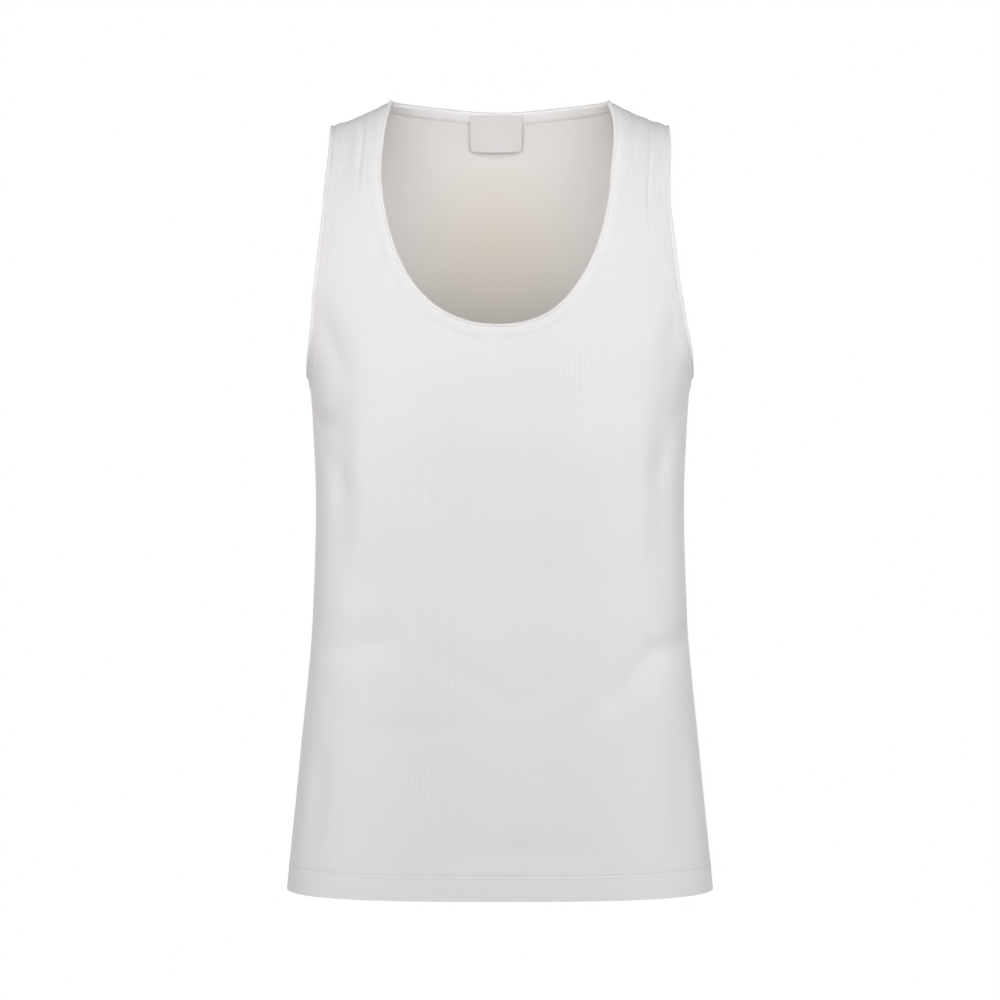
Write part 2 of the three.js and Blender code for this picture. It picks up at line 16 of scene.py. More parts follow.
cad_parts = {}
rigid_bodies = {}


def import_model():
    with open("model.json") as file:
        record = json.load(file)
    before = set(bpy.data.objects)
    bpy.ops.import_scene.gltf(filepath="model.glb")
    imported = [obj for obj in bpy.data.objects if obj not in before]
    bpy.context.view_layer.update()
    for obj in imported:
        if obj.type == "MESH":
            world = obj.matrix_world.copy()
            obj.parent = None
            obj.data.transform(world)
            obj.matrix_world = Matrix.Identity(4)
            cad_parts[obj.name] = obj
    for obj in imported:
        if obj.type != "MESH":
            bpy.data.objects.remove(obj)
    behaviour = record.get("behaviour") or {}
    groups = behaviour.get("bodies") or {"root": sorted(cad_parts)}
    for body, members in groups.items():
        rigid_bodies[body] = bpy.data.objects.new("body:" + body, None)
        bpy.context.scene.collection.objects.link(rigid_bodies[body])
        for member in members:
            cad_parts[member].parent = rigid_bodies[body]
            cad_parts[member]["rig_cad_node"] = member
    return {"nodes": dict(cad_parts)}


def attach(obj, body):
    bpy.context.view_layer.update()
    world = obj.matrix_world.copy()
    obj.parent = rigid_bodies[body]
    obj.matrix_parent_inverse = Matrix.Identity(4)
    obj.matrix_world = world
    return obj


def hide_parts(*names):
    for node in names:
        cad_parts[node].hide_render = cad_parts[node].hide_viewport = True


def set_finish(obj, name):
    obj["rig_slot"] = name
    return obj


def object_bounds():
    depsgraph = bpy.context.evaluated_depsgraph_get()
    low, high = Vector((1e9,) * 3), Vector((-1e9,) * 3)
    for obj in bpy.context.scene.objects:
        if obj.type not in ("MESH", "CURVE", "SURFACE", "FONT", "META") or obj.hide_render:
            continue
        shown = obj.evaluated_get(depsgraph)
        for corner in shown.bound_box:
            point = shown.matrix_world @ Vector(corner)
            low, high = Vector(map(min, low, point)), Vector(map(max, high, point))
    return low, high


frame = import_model()
cad_low, cad_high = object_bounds()
print("frame nodes:", ", ".join(sorted(frame["nodes"])))

# %% [markdown]
# The camera stands straight in front, a long way off, as for a shop's picture of a garment.
# The lens is worked out from the width that the picture covers at the plane of the shoulders,
# so the object comes out at the size it has in the photograph.

# %% Camera
EYE_DISTANCE = 2.3
EYE_HEIGHT = -0.319
SEEN_WIDTH = 0.824
SENSOR_WIDTH = 36.0

camera_data = bpy.data.cameras.new("camera")
camera_data.sensor_width = SENSOR_WIDTH
camera_data.lens = SENSOR_WIDTH * EYE_DISTANCE / SEEN_WIDTH
camera = bpy.data.objects.new("camera", camera_data)
camera.location = (0.0, -EYE_DISTANCE, EYE_HEIGHT)
camera.rotation_euler = (math.radians(90.0), 0.0, 0.0)
bpy.context.scene.collection.objects.link(camera)
bpy.context.scene.camera = camera
print(f"lens {camera_data.lens:.1f} mm")

# %% [markdown]
# A garment is one surface, so it is described once and every piece asks it for points. Below,
# lengths are millimetres of cloth. A place on a panel has two numbers: across, measured along
# the cloth from the centre line, and drop, how far below the inner strap ends it lies. The
# shape itself is a short table of level sections, each a rounded rectangle.

# %% The form of the garment
MM = 0.001
NECK_POINT = 8.0
HEM_DROP = 644.0
HEM_DEPTH = 19.5
UNDERARM_DROP = 227.6
STRAP_INNER = 89.6
STRAP_OUTER = 137.5
SHOULDER_FALL = 20.0
SEAM_GAP = 0.3
WALL = 1.2
RIB_PITCH = 4.33
RIB_HEIGHT = 0.14

SECTIONS = {
    "drop": [0, 60, 120, 160, 200, 227.6, 262, 330, 420, 530, 644],
    "half": [176, 176, 174, 170.5, 163.5, 156.4, 153.3, 150.5, 153, 163, 174.6],
    "front": [0, 59, 83, 95, 104, 108, 108, 102, 96, 96, 99],
    "back": [0, 58, 79, 87, 91, 91, 88, 80, 77, 84, 93],
    "front_square": [2.5, 2.5, 2.6, 2.6, 2.6, 2.7, 2.8, 3.1, 3.2, 3, 2.8],
    "back_square": [2.3, 2.3, 2.4, 2.4, 2.4, 2.4, 2.5, 2.5, 2.6, 2.6, 2.6],
}
ARMHOLE = {
    "drop": [20, 52, 86, 120, 152, 183, 212, 227.6],
    "half": [137.5, 137.9, 138.6, 141.8, 145.2, 149.9, 154.2, 156.4],
}


def smooth_step(value, low, high):
    t = np.clip((value - low) / (high - low), 0.0, 1.0)
    return t * t * (3.0 - 2.0 * t)


def from_table(table, column, drop, power=1):
    """Smooth value of a column at each drop, without overshoot between the rows."""
    x = np.array(table["drop"], float)
    y = np.array(table[column], float) ** power
    run = np.diff(x)
    rise = np.diff(y) / run
    slope = np.concatenate([rise[:1], np.zeros(len(x) - 2), rise[-1:]])
    same_way = rise[:-1] * rise[1:] > 0
    total = np.where(same_way, rise[:-1] + rise[1:], 1.0)
    slope[1:-1] = np.where(same_way, 2.0 * rise[:-1] * rise[1:] / total, 0.0)
    at = np.clip(drop, x[0], x[-1])
    i = np.clip(np.searchsorted(x, at, side="right") - 1, 0, len(run) - 1)
    t = (at - x[i]) / run[i]
    ends = y[i] * (2 * t**3 - 3 * t**2 + 1) + y[i + 1] * (3 * t**2 - 2 * t**3)
    bends = slope[i] * (t**3 - 2 * t**2 + t) + slope[i + 1] * (t**3 - t**2)
    return ends + run[i] * bends


half_at_hem = from_table(SECTIONS, "half", HEM_DROP)
print(f"width at the hem {2 * half_at_hem:.0f} mm, {len(SECTIONS['drop'])} sections")

# %% [markdown]
# Reading the sections point by point would be slow, so each panel keeps its section lines in a
# grid: one way is the share of the line from the centre to the side, the other the square root
# of the drop, because the shoulder rounds off like a root.

# %% Section lines of the two panels
DROP_STEPS = 320
LINE_STEPS = 420


def section_lines(depth, square):
    drops = np.linspace(0.0, math.sqrt(HEM_DROP), DROP_STEPS) ** 2
    angle = np.linspace(0.0, math.pi / 2, LINE_STEPS)
    shares = np.linspace(0.0, 1.0, LINE_STEPS)
    half = from_table(SECTIONS, "half", drops)
    deep = np.sqrt(from_table(SECTIONS, depth, drops, power=2))
    corner = 2.0 / from_table(SECTIONS, square, drops)
    lines = SimpleNamespace(x=[], y=[], length=[])
    for row in range(DROP_STEPS):
        x = half[row] * np.sin(angle) ** corner[row]
        y = deep[row] * np.clip(np.cos(angle), 0.0, 1.0) ** corner[row]
        y[-1] = 0.0
        along = np.concatenate([[0.0], np.cumsum(np.hypot(np.diff(x), np.diff(y)))])
        lines.x.append(np.interp(shares * along[-1], along, x))
        lines.y.append(np.interp(shares * along[-1], along, y))
        lines.length.append(along[-1])
    return SimpleNamespace(x=np.array(lines.x), y=np.array(lines.y), length=np.array(lines.length))


def length_to_side(panel, drop):
    roots = np.linspace(0.0, math.sqrt(HEM_DROP), DROP_STEPS)
    return np.interp(np.sqrt(np.clip(drop, 0.0, HEM_DROP)), roots, panel.lines.length)


def on_section(panel, along, drop):
    """x and y where the section at each drop has run the given length from the centre."""
    root = np.sqrt(np.clip(drop, 0.0, HEM_DROP) / HEM_DROP) * (DROP_STEPS - 1)
    row = np.minimum(root.astype(int), DROP_STEPS - 2)
    down = root - row
    share = np.clip(along / length_to_side(panel, drop), 0.0, 1.0) * (LINE_STEPS - 1)
    column = np.minimum(share.astype(int), LINE_STEPS - 2)
    aside = share - column

    def mixed(table):
        upper = table[row, column] * (1 - aside) + table[row, column + 1] * aside
        lower = table[row + 1, column] * (1 - aside) + table[row + 1, column + 1] * aside
        return upper * (1 - down) + lower * down

    return mixed(panel.lines.x), mixed(panel.lines.y)


front = SimpleNamespace(name="front", facing=-1, lines=section_lines("front", "front_square"))
back = SimpleNamespace(name="back", facing=1, lines=section_lines("back", "back_square"))
for panel in (front, back):
    panel.side = float(length_to_side(panel, UNDERARM_DROP))
    print(f"{panel.name} panel is {2 * panel.side:.0f} mm of cloth wide at the underarm")

# %% [markdown]
# The shoulders slope. Their line is lifted off the level rows near the top and fades out down
# the chest. The straps and the chest also lean a little to one side, as worn cloth does. With
# both, any place on the cloth has a point in space and a direction that looks outward, found
# from the two slopes of the cloth there.

# %% Points of the plain cloth
RIDGE_ROUND = 30.0
SHOULDER_REACH = 180.0
LEAN = 4.0
LEAN_GROWS = (10.0, 70.0)
LEAN_EBBS = (150.0, 215.0)
LEAN_SIDE_SHARE = 0.6
ACROSS_STEP = 0.6
DROP_STEP = 0.3
ridge_run = math.hypot(STRAP_OUTER, RIDGE_ROUND) - math.hypot(STRAP_INNER, RIDGE_ROUND)


def ridge(x):
    fall = math.hypot(STRAP_INNER, RIDGE_ROUND) - np.hypot(x, RIDGE_ROUND)
    return SHOULDER_FALL / ridge_run * fall


def shoulder_share(drop):
    return 1.0 - smooth_step(drop, 0.0, SHOULDER_REACH)


def lean_at(x, drop):
    share = smooth_step(drop, *LEAN_GROWS) * (1.0 - smooth_step(drop, *LEAN_EBBS))
    return LEAN * share * (1.0 - LEAN_SIDE_SHARE * (x / SECTIONS["half"][0]) ** 2)


def surface(panel, across, drop):
    across, drop = np.broadcast_arrays(np.asarray(across, float), np.asarray(drop, float))
    below = drop > UNDERARM_DROP
    spread = np.where(below, length_to_side(panel, drop) / panel.side, 1.0)
    x, y = on_section(panel, np.abs(across) * spread, drop)
    z = NECK_POINT + ridge(x) * shoulder_share(drop) - drop
    return np.stack([np.sign(across) * x - lean_at(x, drop), panel.facing * y, z], axis=-1)


def slopes(panel, across, drop):
    upper = np.maximum(0.0, drop - DROP_STEP)
    lower = np.minimum(HEM_DROP, drop + DROP_STEP)
    right = surface(panel, across + ACROSS_STEP, drop)
    left = surface(panel, across - ACROSS_STEP, drop)
    along_row = (right - left) / (2 * ACROSS_STEP)
    down_row = surface(panel, across, lower) - surface(panel, across, upper)
    return along_row, down_row / (lower - upper)[..., None]


def unit(vectors):
    return vectors / np.linalg.norm(vectors, axis=-1, keepdims=True)


def outward(panel, across, drop):
    along_row, down_row = slopes(panel, across, drop)
    return unit(np.cross(down_row, along_row) * -panel.facing)


chest = surface(front, np.array([0.0]), np.array([UNDERARM_DROP]))[0]
print(f"centre front at the underarm lies {-chest[1]:.0f} mm before the shoulders")

# %% [markdown]
# Worn cloth is never a clean surface. Each fold is one row of a table: where it starts and
# ends, how wide and deep it is, and how far it bows aside. A positive depth sinks a soft
# trough and a negative one raises a ridge. In front the creases of the straps come first, then
# the small ones beside the scoop, and the rest go down from the underarms to the hem.

# %% Folds and creases
FOLD_COLUMNS = ("across", "drop", "to_across", "to_drop", "width", "depth", "bow")
FRONT_FOLDS = [
    (-113, 3, -112, 72, 4.2, 2.8, 0),
    (-103, 12, -103, 46, 3.5, 0.9, 0),
    (-123, 2, -127, 66, 13, 2.8, 0),
    (-129, 0, -128, 18, 3.5, 1.1, 0),
    (123.5, -2, 124, 104, 3.6, 2.2, 0),
    (112, -2, 109, 56, 8, 2.8, 0),
    (133, 96, 131, 132, 4, 0.7, 0),
    (85, 92, 97, 96, 1.5, 0.4, 0),
    (85, 96, 96, 100, 1.5, 0.35, 0),
    (76, 132, 89, 136, 1.6, 0.4, 0),
    (74, 137, 86, 141, 1.5, 0.35, 0),
    (71, 142, 82, 147, 1.5, 0.3, 0),
    (-84, 112, -96, 116, 1.6, 0.35, 0),
    (-80, 126, -91, 131, 1.5, 0.3, 0),
    (-155, 172, -126, 236, 30, 3.0, 0),
    (-184, 262, -134, 268, 22, 2.4, 0),
    (-134, 232, -137, 392, 27, 2.3, 0),
    (-112, 232, -115, 376, 17, -0.6, 0),
    (-168, 262, -128, 330, 22, 1.6, 0),
    (154, 176, 141, 222, 24, 2.2, 0),
    (186, 254, 134, 258, 18, 1.6, 0),
    (137, 242, 139, 392, 27, 2.2, 0),
    (114, 244, 117, 376, 17, -0.5, 0),
    (164, 254, 126, 318, 20, 1.4, 0),
    (-68, 304, -45, 336, 7, 1.1, -4.3),
    (-60, 300, -38, 328, 10, -0.6, -4),
    (-40, 346, -12, 325, 9, 0.5, 2),
    (-160, 448, -82, 440, 20, 1.6, 0),
    (-142, 416, -88, 416, 18, -0.9, 0),
    (-112, 512, -40, 510, 18, 0.9, 0),
    (196, 434, 118, 450, 20, 2.6, 0),
    (132, 444, 84, 490, 20, 2.0, 0),
    (100, 474, 40, 516, 20, 1.1, 0),
    (122, 406, 88, 430, 18, -0.7, 0),
    (168, 470, 106, 494, 22, -0.8, 0),
    (-56, 446, 16, 496, 22, 1.0, 0),
    (16, 496, 84, 448, 22, 0.8, 0),
    (-62, 608, 82, 606, 20, 0.9, 0),
    (-148, 524, -152, 624, 22, 1.7, 0),
    (148, 516, 152, 620, 24, 1.9, 0),
]
BACK_FOLDS = [
    (118, 8, 114, 100, 6, 1.3, 0),
    (-124, 6, -119, 92, 7, 1.4, 0),
    (126, 0, 124, 26, 4, 0.8, 0),
    (140, 172, 112, 226, 18, 2.2, 0),
    (-146, 176, -118, 236, 20, 2.4, 0),
    (-150, 268, -96, 352, 26, 2.2, 0),
    (154, 260, 88, 372, 28, 2.4, 0),
    (-126, 244, -124, 372, 18, 1.6, 0),
    (124, 250, 126, 380, 18, 1.8, 0),
    (60, 360, -70, 402, 28, 2.6, 0),
    (-50, 316, 84, 338, 22, 1.9, 0),
    (-96, 338, -30, 352, 16, 1.3, 5),
    (52, 386, 120, 410, 18, 1.4, -4),
    (-140, 520, -64, 462, 30, 2.0, 0),
    (132, 540, 60, 478, 26, 1.7, 0),
    (-40, 470, 36, 504, 24, 1.1, 0),
    (-150, 560, -152, 630, 22, 1.5, 0),
    (146, 548, 150, 628, 22, 1.6, 0),
    (-70, 608, 60, 610, 18, 1.2, 0),
]
FOLD_FADE = 0.3
FOLD_OVERRUN = 0.15
FOLD_SHARPNESS = 4.0
front.folds = [dict(zip(FOLD_COLUMNS, row)) for row in FRONT_FOLDS]
back.folds = [dict(zip(FOLD_COLUMNS, row)) for row in BACK_FOLDS]


def fold_depth(panel, across, drop):
    depth = np.zeros(np.broadcast(across, drop).shape)
    for fold in panel.folds:
        run_x = fold["to_across"] - fold["across"]
        run_y = fold["to_drop"] - fold["drop"]
        length = math.hypot(run_x, run_y)
        from_x = across - fold["across"]
        from_y = drop - fold["drop"]
        t = (from_x * run_x + from_y * run_y) / length**2
        bowed = fold["bow"] * 4 * t * (1 - t)
        aside = (from_x * run_y - from_y * run_x) / length - bowed
        start = smooth_step(t, -FOLD_OVERRUN, FOLD_FADE)
        end = 1 - smooth_step(t, 1 - FOLD_FADE, 1 + FOLD_OVERRUN)
        spread = np.exp(-((aside / fold["width"]) ** 2) * FOLD_SHARPNESS)
        depth += fold["depth"] * start * end * spread
    return depth


def cloth_point(panel, across, drop, out):
    """A point of the folded cloth, moved out from its plain surface, in millimetres."""
    lift = out - fold_depth(panel, across, drop)
    point = surface(panel, across, drop) + outward(panel, across, drop) * lift[..., None]
    point[..., 1] = panel.facing * np.maximum(SEAM_GAP / 2, panel.facing * point[..., 1])
    return point


print(len(FRONT_FOLDS), "folds in front,", len(BACK_FOLDS), "behind")

# %% [markdown]
# Three curves cut the panels: the deep scoop of the front neck, the shallow back neck, and the
# armhole. Each is needed both ways round, as a place across at a known drop and as a drop at a
# known place across.

# %% Cut edges
SCOOP_HALF = 94.8
SCOOP_WIDEST = 32.0
SCOOP_BOTTOM = 189.8
SCOOP_ROUNDNESS = 2.4
SCOOP_FULLNESS = 0.435
BACK_NECK_SAG = 2.0
EDGE_STEPS = 600


def front_neck_across(drop):
    drop = np.asarray(drop, float)
    rise = np.clip(1 - drop / SCOOP_WIDEST, 0.0, 1.0)
    above = SCOOP_HALF - (SCOOP_HALF - STRAP_INNER) * rise**2
    t = np.clip((drop - SCOOP_WIDEST) / (SCOOP_BOTTOM - SCOOP_WIDEST), 0.0, 1.0)
    below = SCOOP_HALF * (1 - t**SCOOP_ROUNDNESS) ** SCOOP_FULLNESS
    return np.where(drop < SCOOP_WIDEST, above, below)


def front_neck_drop(across):
    wide = np.clip(np.abs(across) / SCOOP_HALF, 0.0, 1.0)
    t = (1 - wide ** (1 / SCOOP_FULLNESS)) ** (1 / SCOOP_ROUNDNESS)
    return SCOOP_WIDEST + t * (SCOOP_BOTTOM - SCOOP_WIDEST)


def back_neck_drop(across):
    share = np.clip(np.abs(across) / STRAP_INNER, 0.0, 1.0)
    return BACK_NECK_SAG * (1 - share**2) + np.maximum(0.0, ridge(np.abs(across)))


def armhole_edge(panel):
    """The armhole's place across, at drops that are close together."""
    drops = np.linspace(0.0, math.sqrt(UNDERARM_DROP), EDGE_STEPS) ** 2
    true_drop = drops + SHOULDER_FALL * shoulder_share(drops)
    half = from_table(ARMHOLE, "half", true_drop)
    shares = np.linspace(0.0, 1.0, LINE_STEPS)
    across = []
    for drop, cut in zip(drops, half):
        along = shares * length_to_side(panel, drop)
        x, _ = on_section(panel, along, np.full(LINE_STEPS, drop))
        across.append(np.interp(cut, x, along))
    across[-1] = panel.side
    return drops, np.array(across)


def armhole_across(panel, drop):
    return np.interp(drop, *panel.armhole)


def armhole_drop(panel, across):
    return np.interp(across, panel.armhole[1], panel.armhole[0])


for panel in (front, back):
    panel.armhole = armhole_edge(panel)
print(f"scoop {2 * SCOOP_HALF:.0f} mm wide and {SCOOP_BOTTOM:.0f} mm deep")

# %% [markdown]
# A panel is first laid out flat, as the cutter has it: x is across and y is the drop. The
# body is one grid whose rows turn along the cut edges, and each strap is another. The columns
# follow the ribs, three to a rib, closer together at its valley, so a rib is broad and its
# valley narrow. Where a strap narrows, the columns past its edge fall together, and merging
# the doubles joins the grids into one piece of cloth, whose faces are then turned one way.

# %% Flat cloth
RIB_COLUMNS = (0.0, 0.36, 0.64)
COLUMN_CLEARANCE = 0.25
FOOT_INNER = 160.0
FOOT_OUTER = 202.0
STRAP_ROWS = 62
YOKE_ROWS = 44
STRAP_CLOSENESS = 1.7
FOOT_CLOSENESS = 1.6
CHEST_ROWS = 18
BODY_TOP = 262.0
BODY_ROWS = 100
HEM_STITCH_DROP = HEM_DROP - HEM_DEPTH
HEM_ROWS = [-3.2, -1.6, 0.0, 1.6, 3.2, 6.5, 10.5, 14.5, 17.5, 18.8]
MERGE = 0.02


def rib_columns(low, high, fixed):
    ribs = np.arange(math.floor(low / RIB_PITCH), math.ceil(high / RIB_PITCH) + 1)
    columns = RIB_PITCH * (ribs[:, None] + np.array(RIB_COLUMNS)).ravel()
    columns = columns[(columns > low) & (columns < high)]
    fixed = np.array(sorted(fixed), float)
    clear = np.abs(columns[:, None] - fixed).min(axis=1) > COLUMN_CLEARANCE
    return np.sort(np.concatenate([columns[clear], fixed]))


def lay_grid(mesh, across, drop):
    """Adds a grid of cloth whose points lie at the given places, rows by columns."""
    rows, columns = across.shape
    made = bmesh.ops.create_grid(mesh, x_segments=columns - 1, y_segments=rows - 1, size=1.0)
    for vert in made["verts"]:
        column = round((vert.co.x + 1) / 2 * (columns - 1))
        row = round((vert.co.y + 1) / 2 * (rows - 1))
        vert.co = (across[row, column], drop[row, column], 0.0)


def body_rows(turning, columns):
    """Drops of the body's rows, from the row that turns along the cut edges to the hem."""
    shares = np.linspace(0.0, 1.0, CHEST_ROWS)[:, None]
    chest_rows = turning * (1 - shares) + BODY_TOP * shares
    levels = np.linspace(BODY_TOP, HEM_STITCH_DROP + HEM_ROWS[0], BODY_ROWS)[1:-1]
    levels = np.concatenate([levels, HEM_STITCH_DROP + np.array(HEM_ROWS), [HEM_DROP]])
    return np.concatenate([chest_rows, np.repeat(levels[:, None], len(columns), axis=1)])


def flat_front():
    mesh = bmesh.new()
    inner = float(front_neck_across(FOOT_INNER))
    outer = float(armhole_across(front, FOOT_OUTER))
    fixed = [-front.side, -outer, -inner, 0, inner, outer, front.side]
    columns = rib_columns(-front.side, front.side, fixed)
    wide = np.abs(columns)
    foot = FOOT_INNER + (FOOT_OUTER - FOOT_INNER) * (wide - inner) / (outer - inner)
    turning = np.where(wide < inner, front_neck_drop(wide), foot)
    turning = np.where(wide > outer, armhole_drop(front, wide), turning)
    drops = body_rows(turning, columns)
    lay_grid(mesh, np.repeat(columns[None], len(drops), axis=0), drops)
    at = (1 - np.linspace(0.0, 1.0, STRAP_ROWS)[:, None]) ** STRAP_CLOSENESS
    upper = FOOT_INNER * at
    lower = upper + (FOOT_OUTER - FOOT_INNER) * at**FOOT_CLOSENESS
    from_neck, to_armhole = front_neck_across(upper), armhole_across(front, lower)
    strap = columns[(columns >= inner) & (columns <= outer)]
    across = np.clip(strap[None], from_neck, to_armhole)
    drop = upper + (lower - upper) * (across - from_neck) / (to_armhole - from_neck)
    lay_grid(mesh, across, drop)
    lay_grid(mesh, -across, drop)
    return mesh


def flat_back():
    mesh = bmesh.new()
    outer = float(armhole_across(back, FOOT_OUTER))
    fixed = [-back.side, -outer, -STRAP_INNER, 0, STRAP_INNER, outer, back.side]
    columns = rib_columns(-back.side, back.side, fixed)
    wide = np.abs(columns)
    foot = FOOT_INNER + (FOOT_OUTER - FOOT_INNER) * wide / outer
    turning = np.where(wide > outer, armhole_drop(back, wide), foot)
    drops = body_rows(turning, columns)
    lay_grid(mesh, np.repeat(columns[None], len(drops), axis=0), drops)
    at = (1 - np.linspace(0.0, 1.0, YOKE_ROWS)[:, None]) ** STRAP_CLOSENESS
    to_armhole = armhole_across(back, FOOT_OUTER * at)
    yoke = columns[np.abs(columns) <= outer]
    across = np.clip(yoke[None], -to_armhole, to_armhole)
    share = np.abs(across) / to_armhole
    top = share * STRAP_OUTER
    top_drop = np.where(top < STRAP_INNER, back_neck_drop(top), 0.0)
    drop = at * (FOOT_INNER + (FOOT_OUTER - FOOT_INNER) * share) + (1 - at) * top_drop
    lay_grid(mesh, across, drop)
    return mesh


for panel, lay in ((front, flat_front), (back, flat_back)):
    panel.flat = lay()
    bmesh.ops.remove_doubles(panel.flat, verts=panel.flat.verts, dist=MERGE)
    bmesh.ops.recalc_face_normals(panel.flat, faces=panel.flat.faces)
    panel.cut_area = sum(face.calc_area() for face in panel.flat.faces) * MM * MM
    print(f"{panel.name}: {len(panel.flat.faces)} faces, {panel.cut_area:.3f} square metres")

# %% [markdown]
# Now the flat cloth is put on its form. Its points first take the place of the inner face. The
# face is extruded, the copy moves to the outer face with the ribs raised, and the extrusion
# leaves the thin wall round the edges. The flat places stay with the points as two layers. For
# the material two more go with them: how near a rib's crest a point is, for the painted shade
# of the rib valleys, and how much painted shade, darker and warmer, the inner face takes.

# %% Panels
RIB_SHAPE = 0.8
INSIDE_RIB = 0.02
# Painted shade in the rib valleys: its least strength all over, and the patches where it is full.
LEAST_VALLEY_SHADE = 0.3
STRONG_VALLEY_SHADE_PATCHES = {
    "front": [(50, 226, 85, 45), (-92, 395, 27, 105), (-55, 505, 44, 120)],
    "back": [(-70, 200, 45, 70), (84, 440, 45, 160), (-96, 520, 40, 110)],
}
INSIDE_CONTRAST = 0.3
# Painted shade on the inner face: strongest round this middle, and at its least share elsewhere.
INSIDE_SHADE_DROP = 124
INSIDE_SHADE_REACH = (78, 66)
INSIDE_SHADE_LEAST = 0.3
STITCH_GROOVE = 0.3
GROOVE_WIDTH = 1.8


def rib_share(across):
    """1 on the crest of a rib and 0 in the valley between two."""
    return np.abs(np.cos(math.pi * across / RIB_PITCH)) ** RIB_SHAPE


def oval(across, drop, middle, reach):
    """1 in the middle of an oval place on the cloth, fading to 0 round it."""
    away = ((across - middle[0]) / reach[0]) ** 2 + ((drop - middle[1]) / reach[1]) ** 2
    return np.exp(-away)


def valley_shade_strength(panel, across, drop):
    """How strongly the rib valleys take their painted shade, weakly all over and fully in a few
    patches.
    """
    most = np.full(across.shape, LEAST_VALLEY_SHADE)
    for patch in STRONG_VALLEY_SHADE_PATCHES[panel.name]:
        most = np.maximum(most, oval(across, drop, patch[:2], patch[2:]))
    return most


def inside_shade_share(across, drop):
    """How much painted shade, darker and warmer, the inner face takes, strongest behind the scoop.
    """
    return INSIDE_SHADE_LEAST + (1 - INSIDE_SHADE_LEAST) * oval(across, drop, (0, INSIDE_SHADE_DROP), INSIDE_SHADE_REACH)


def outer_lift(across, drop):
    groove = np.exp(-(((drop - HEM_STITCH_DROP) / GROOVE_WIDTH) ** 2))
    return RIB_HEIGHT * rib_share(across) - STITCH_GROOVE * groove


def inner_lift(across, drop):
    layers = np.where(drop > HEM_STITCH_DROP - MERGE, 2, 1)
    return -WALL * layers - INSIDE_RIB * (1 - rib_share(across))


def move_to(mesh, verts, points):
    for vert, point in zip(verts, points * MM):
        vert.co = point


def link_object(mesh, name):
    """Makes an object of a bmesh, at the origin, and links it to the scene."""
    data = bpy.data.meshes.new(name)
    mesh.to_mesh(data)
    mesh.free()
    made = bpy.data.objects.new(name, data)
    bpy.context.scene.collection.objects.link(made)
    return made


def finish_mesh(mesh, name, material_slot, sharp=40.0):
    """Turns a finished bmesh into an object that rides on the garment's one body."""
    if mesh.calc_volume(signed=True) < 0:
        bmesh.ops.reverse_faces(mesh, faces=mesh.faces)
    for face in mesh.faces:
        face.smooth = True
    piece = link_object(mesh, name)
    piece.data.set_sharp_from_angle(angle=math.radians(sharp))
    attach(piece, "root")
    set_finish(piece, material_slot)
    triangles = sum(len(polygon.vertices) - 2 for polygon in piece.data.polygons)
    print(f"{name}: {triangles} triangles")
    return piece


def sew_panel(panel):
    mesh = panel.flat
    across_layer = mesh.verts.layers.float.new("across")
    drop_layer = mesh.verts.layers.float.new("drop")
    rib_layer = mesh.verts.layers.float.new("rib")
    # inside holds how much painted shade, darker and warmer, the inner face takes; the outer face
    # gets none.
    inside_shade_layer = mesh.verts.layers.float.new("inside")
    flat = np.array([vert.co[:2] for vert in mesh.verts])
    valley_shade_strengths = valley_shade_strength(panel, flat[:, 0], flat[:, 1])
    inner_shades = inside_shade_share(flat[:, 0], flat[:, 1])
    # Painted shade of the rib valleys: rib runs from the valley colour at 0 to the crest colour at
    # 1.
    ribs = 1 - (1 - rib_share(flat[:, 0])) * valley_shade_strengths
    for vert, (across, drop), rib, inner_shade in zip(mesh.verts, flat, ribs, inner_shades):
        vert[across_layer] = across * MM
        vert[drop_layer] = drop * MM
        vert[rib_layer] = rib
        vert[inside_shade_layer] = inner_shade
    inner_faces = list(mesh.faces)
    inner = cloth_point(panel, flat[:, 0], flat[:, 1], inner_lift(flat[:, 0], flat[:, 1]))
    move_to(mesh, list(mesh.verts), inner)
    made = bmesh.ops.extrude_face_region(mesh, geom=inner_faces, use_keep_orig=True)
    outer_verts = [item for item in made["geom"] if isinstance(item, bmesh.types.BMVert)]
    for vert in outer_verts:
        vert[inside_shade_layer] = 0.0
    # The inner face gets less of the painted valley shade.
    for vert in set(mesh.verts) - set(outer_verts):
        vert[rib_layer] = 1 - (1 - vert[rib_layer]) * INSIDE_CONTRAST
    flat = np.array([(vert[across_layer], vert[drop_layer]) for vert in outer_verts]) / MM
    outer = cloth_point(panel, flat[:, 0], flat[:, 1], outer_lift(flat[:, 0], flat[:, 1]))
    move_to(mesh, outer_verts, outer)
    uv = mesh.loops.layers.uv.new("cloth")
    for face in mesh.faces:
        for loop in face.loops:
            loop[uv].uv = (loop.vert[across_layer], loop.vert[drop_layer])
    loose = sum(not edge.is_contiguous for edge in mesh.edges)
    print(f"{panel.name}: {loose} edges where the faces turn or end")
    return finish_mesh(mesh, f"{panel.name}_cloth", "rib_cotton")


front_cloth = sew_panel(front)
back_cloth = sew_panel(back)

# %% [markdown]
# The neck and armholes are bound with a strip of the same knit, folded over the cut edge and
# sewn through. The strip's section is drawn once: the outer leg with its stitched groove, the
# rolled fold that stands a little past the edge, and the inner leg. Each point says how far it
# lies into the cloth from the cut edge and how far out from the plain surface.

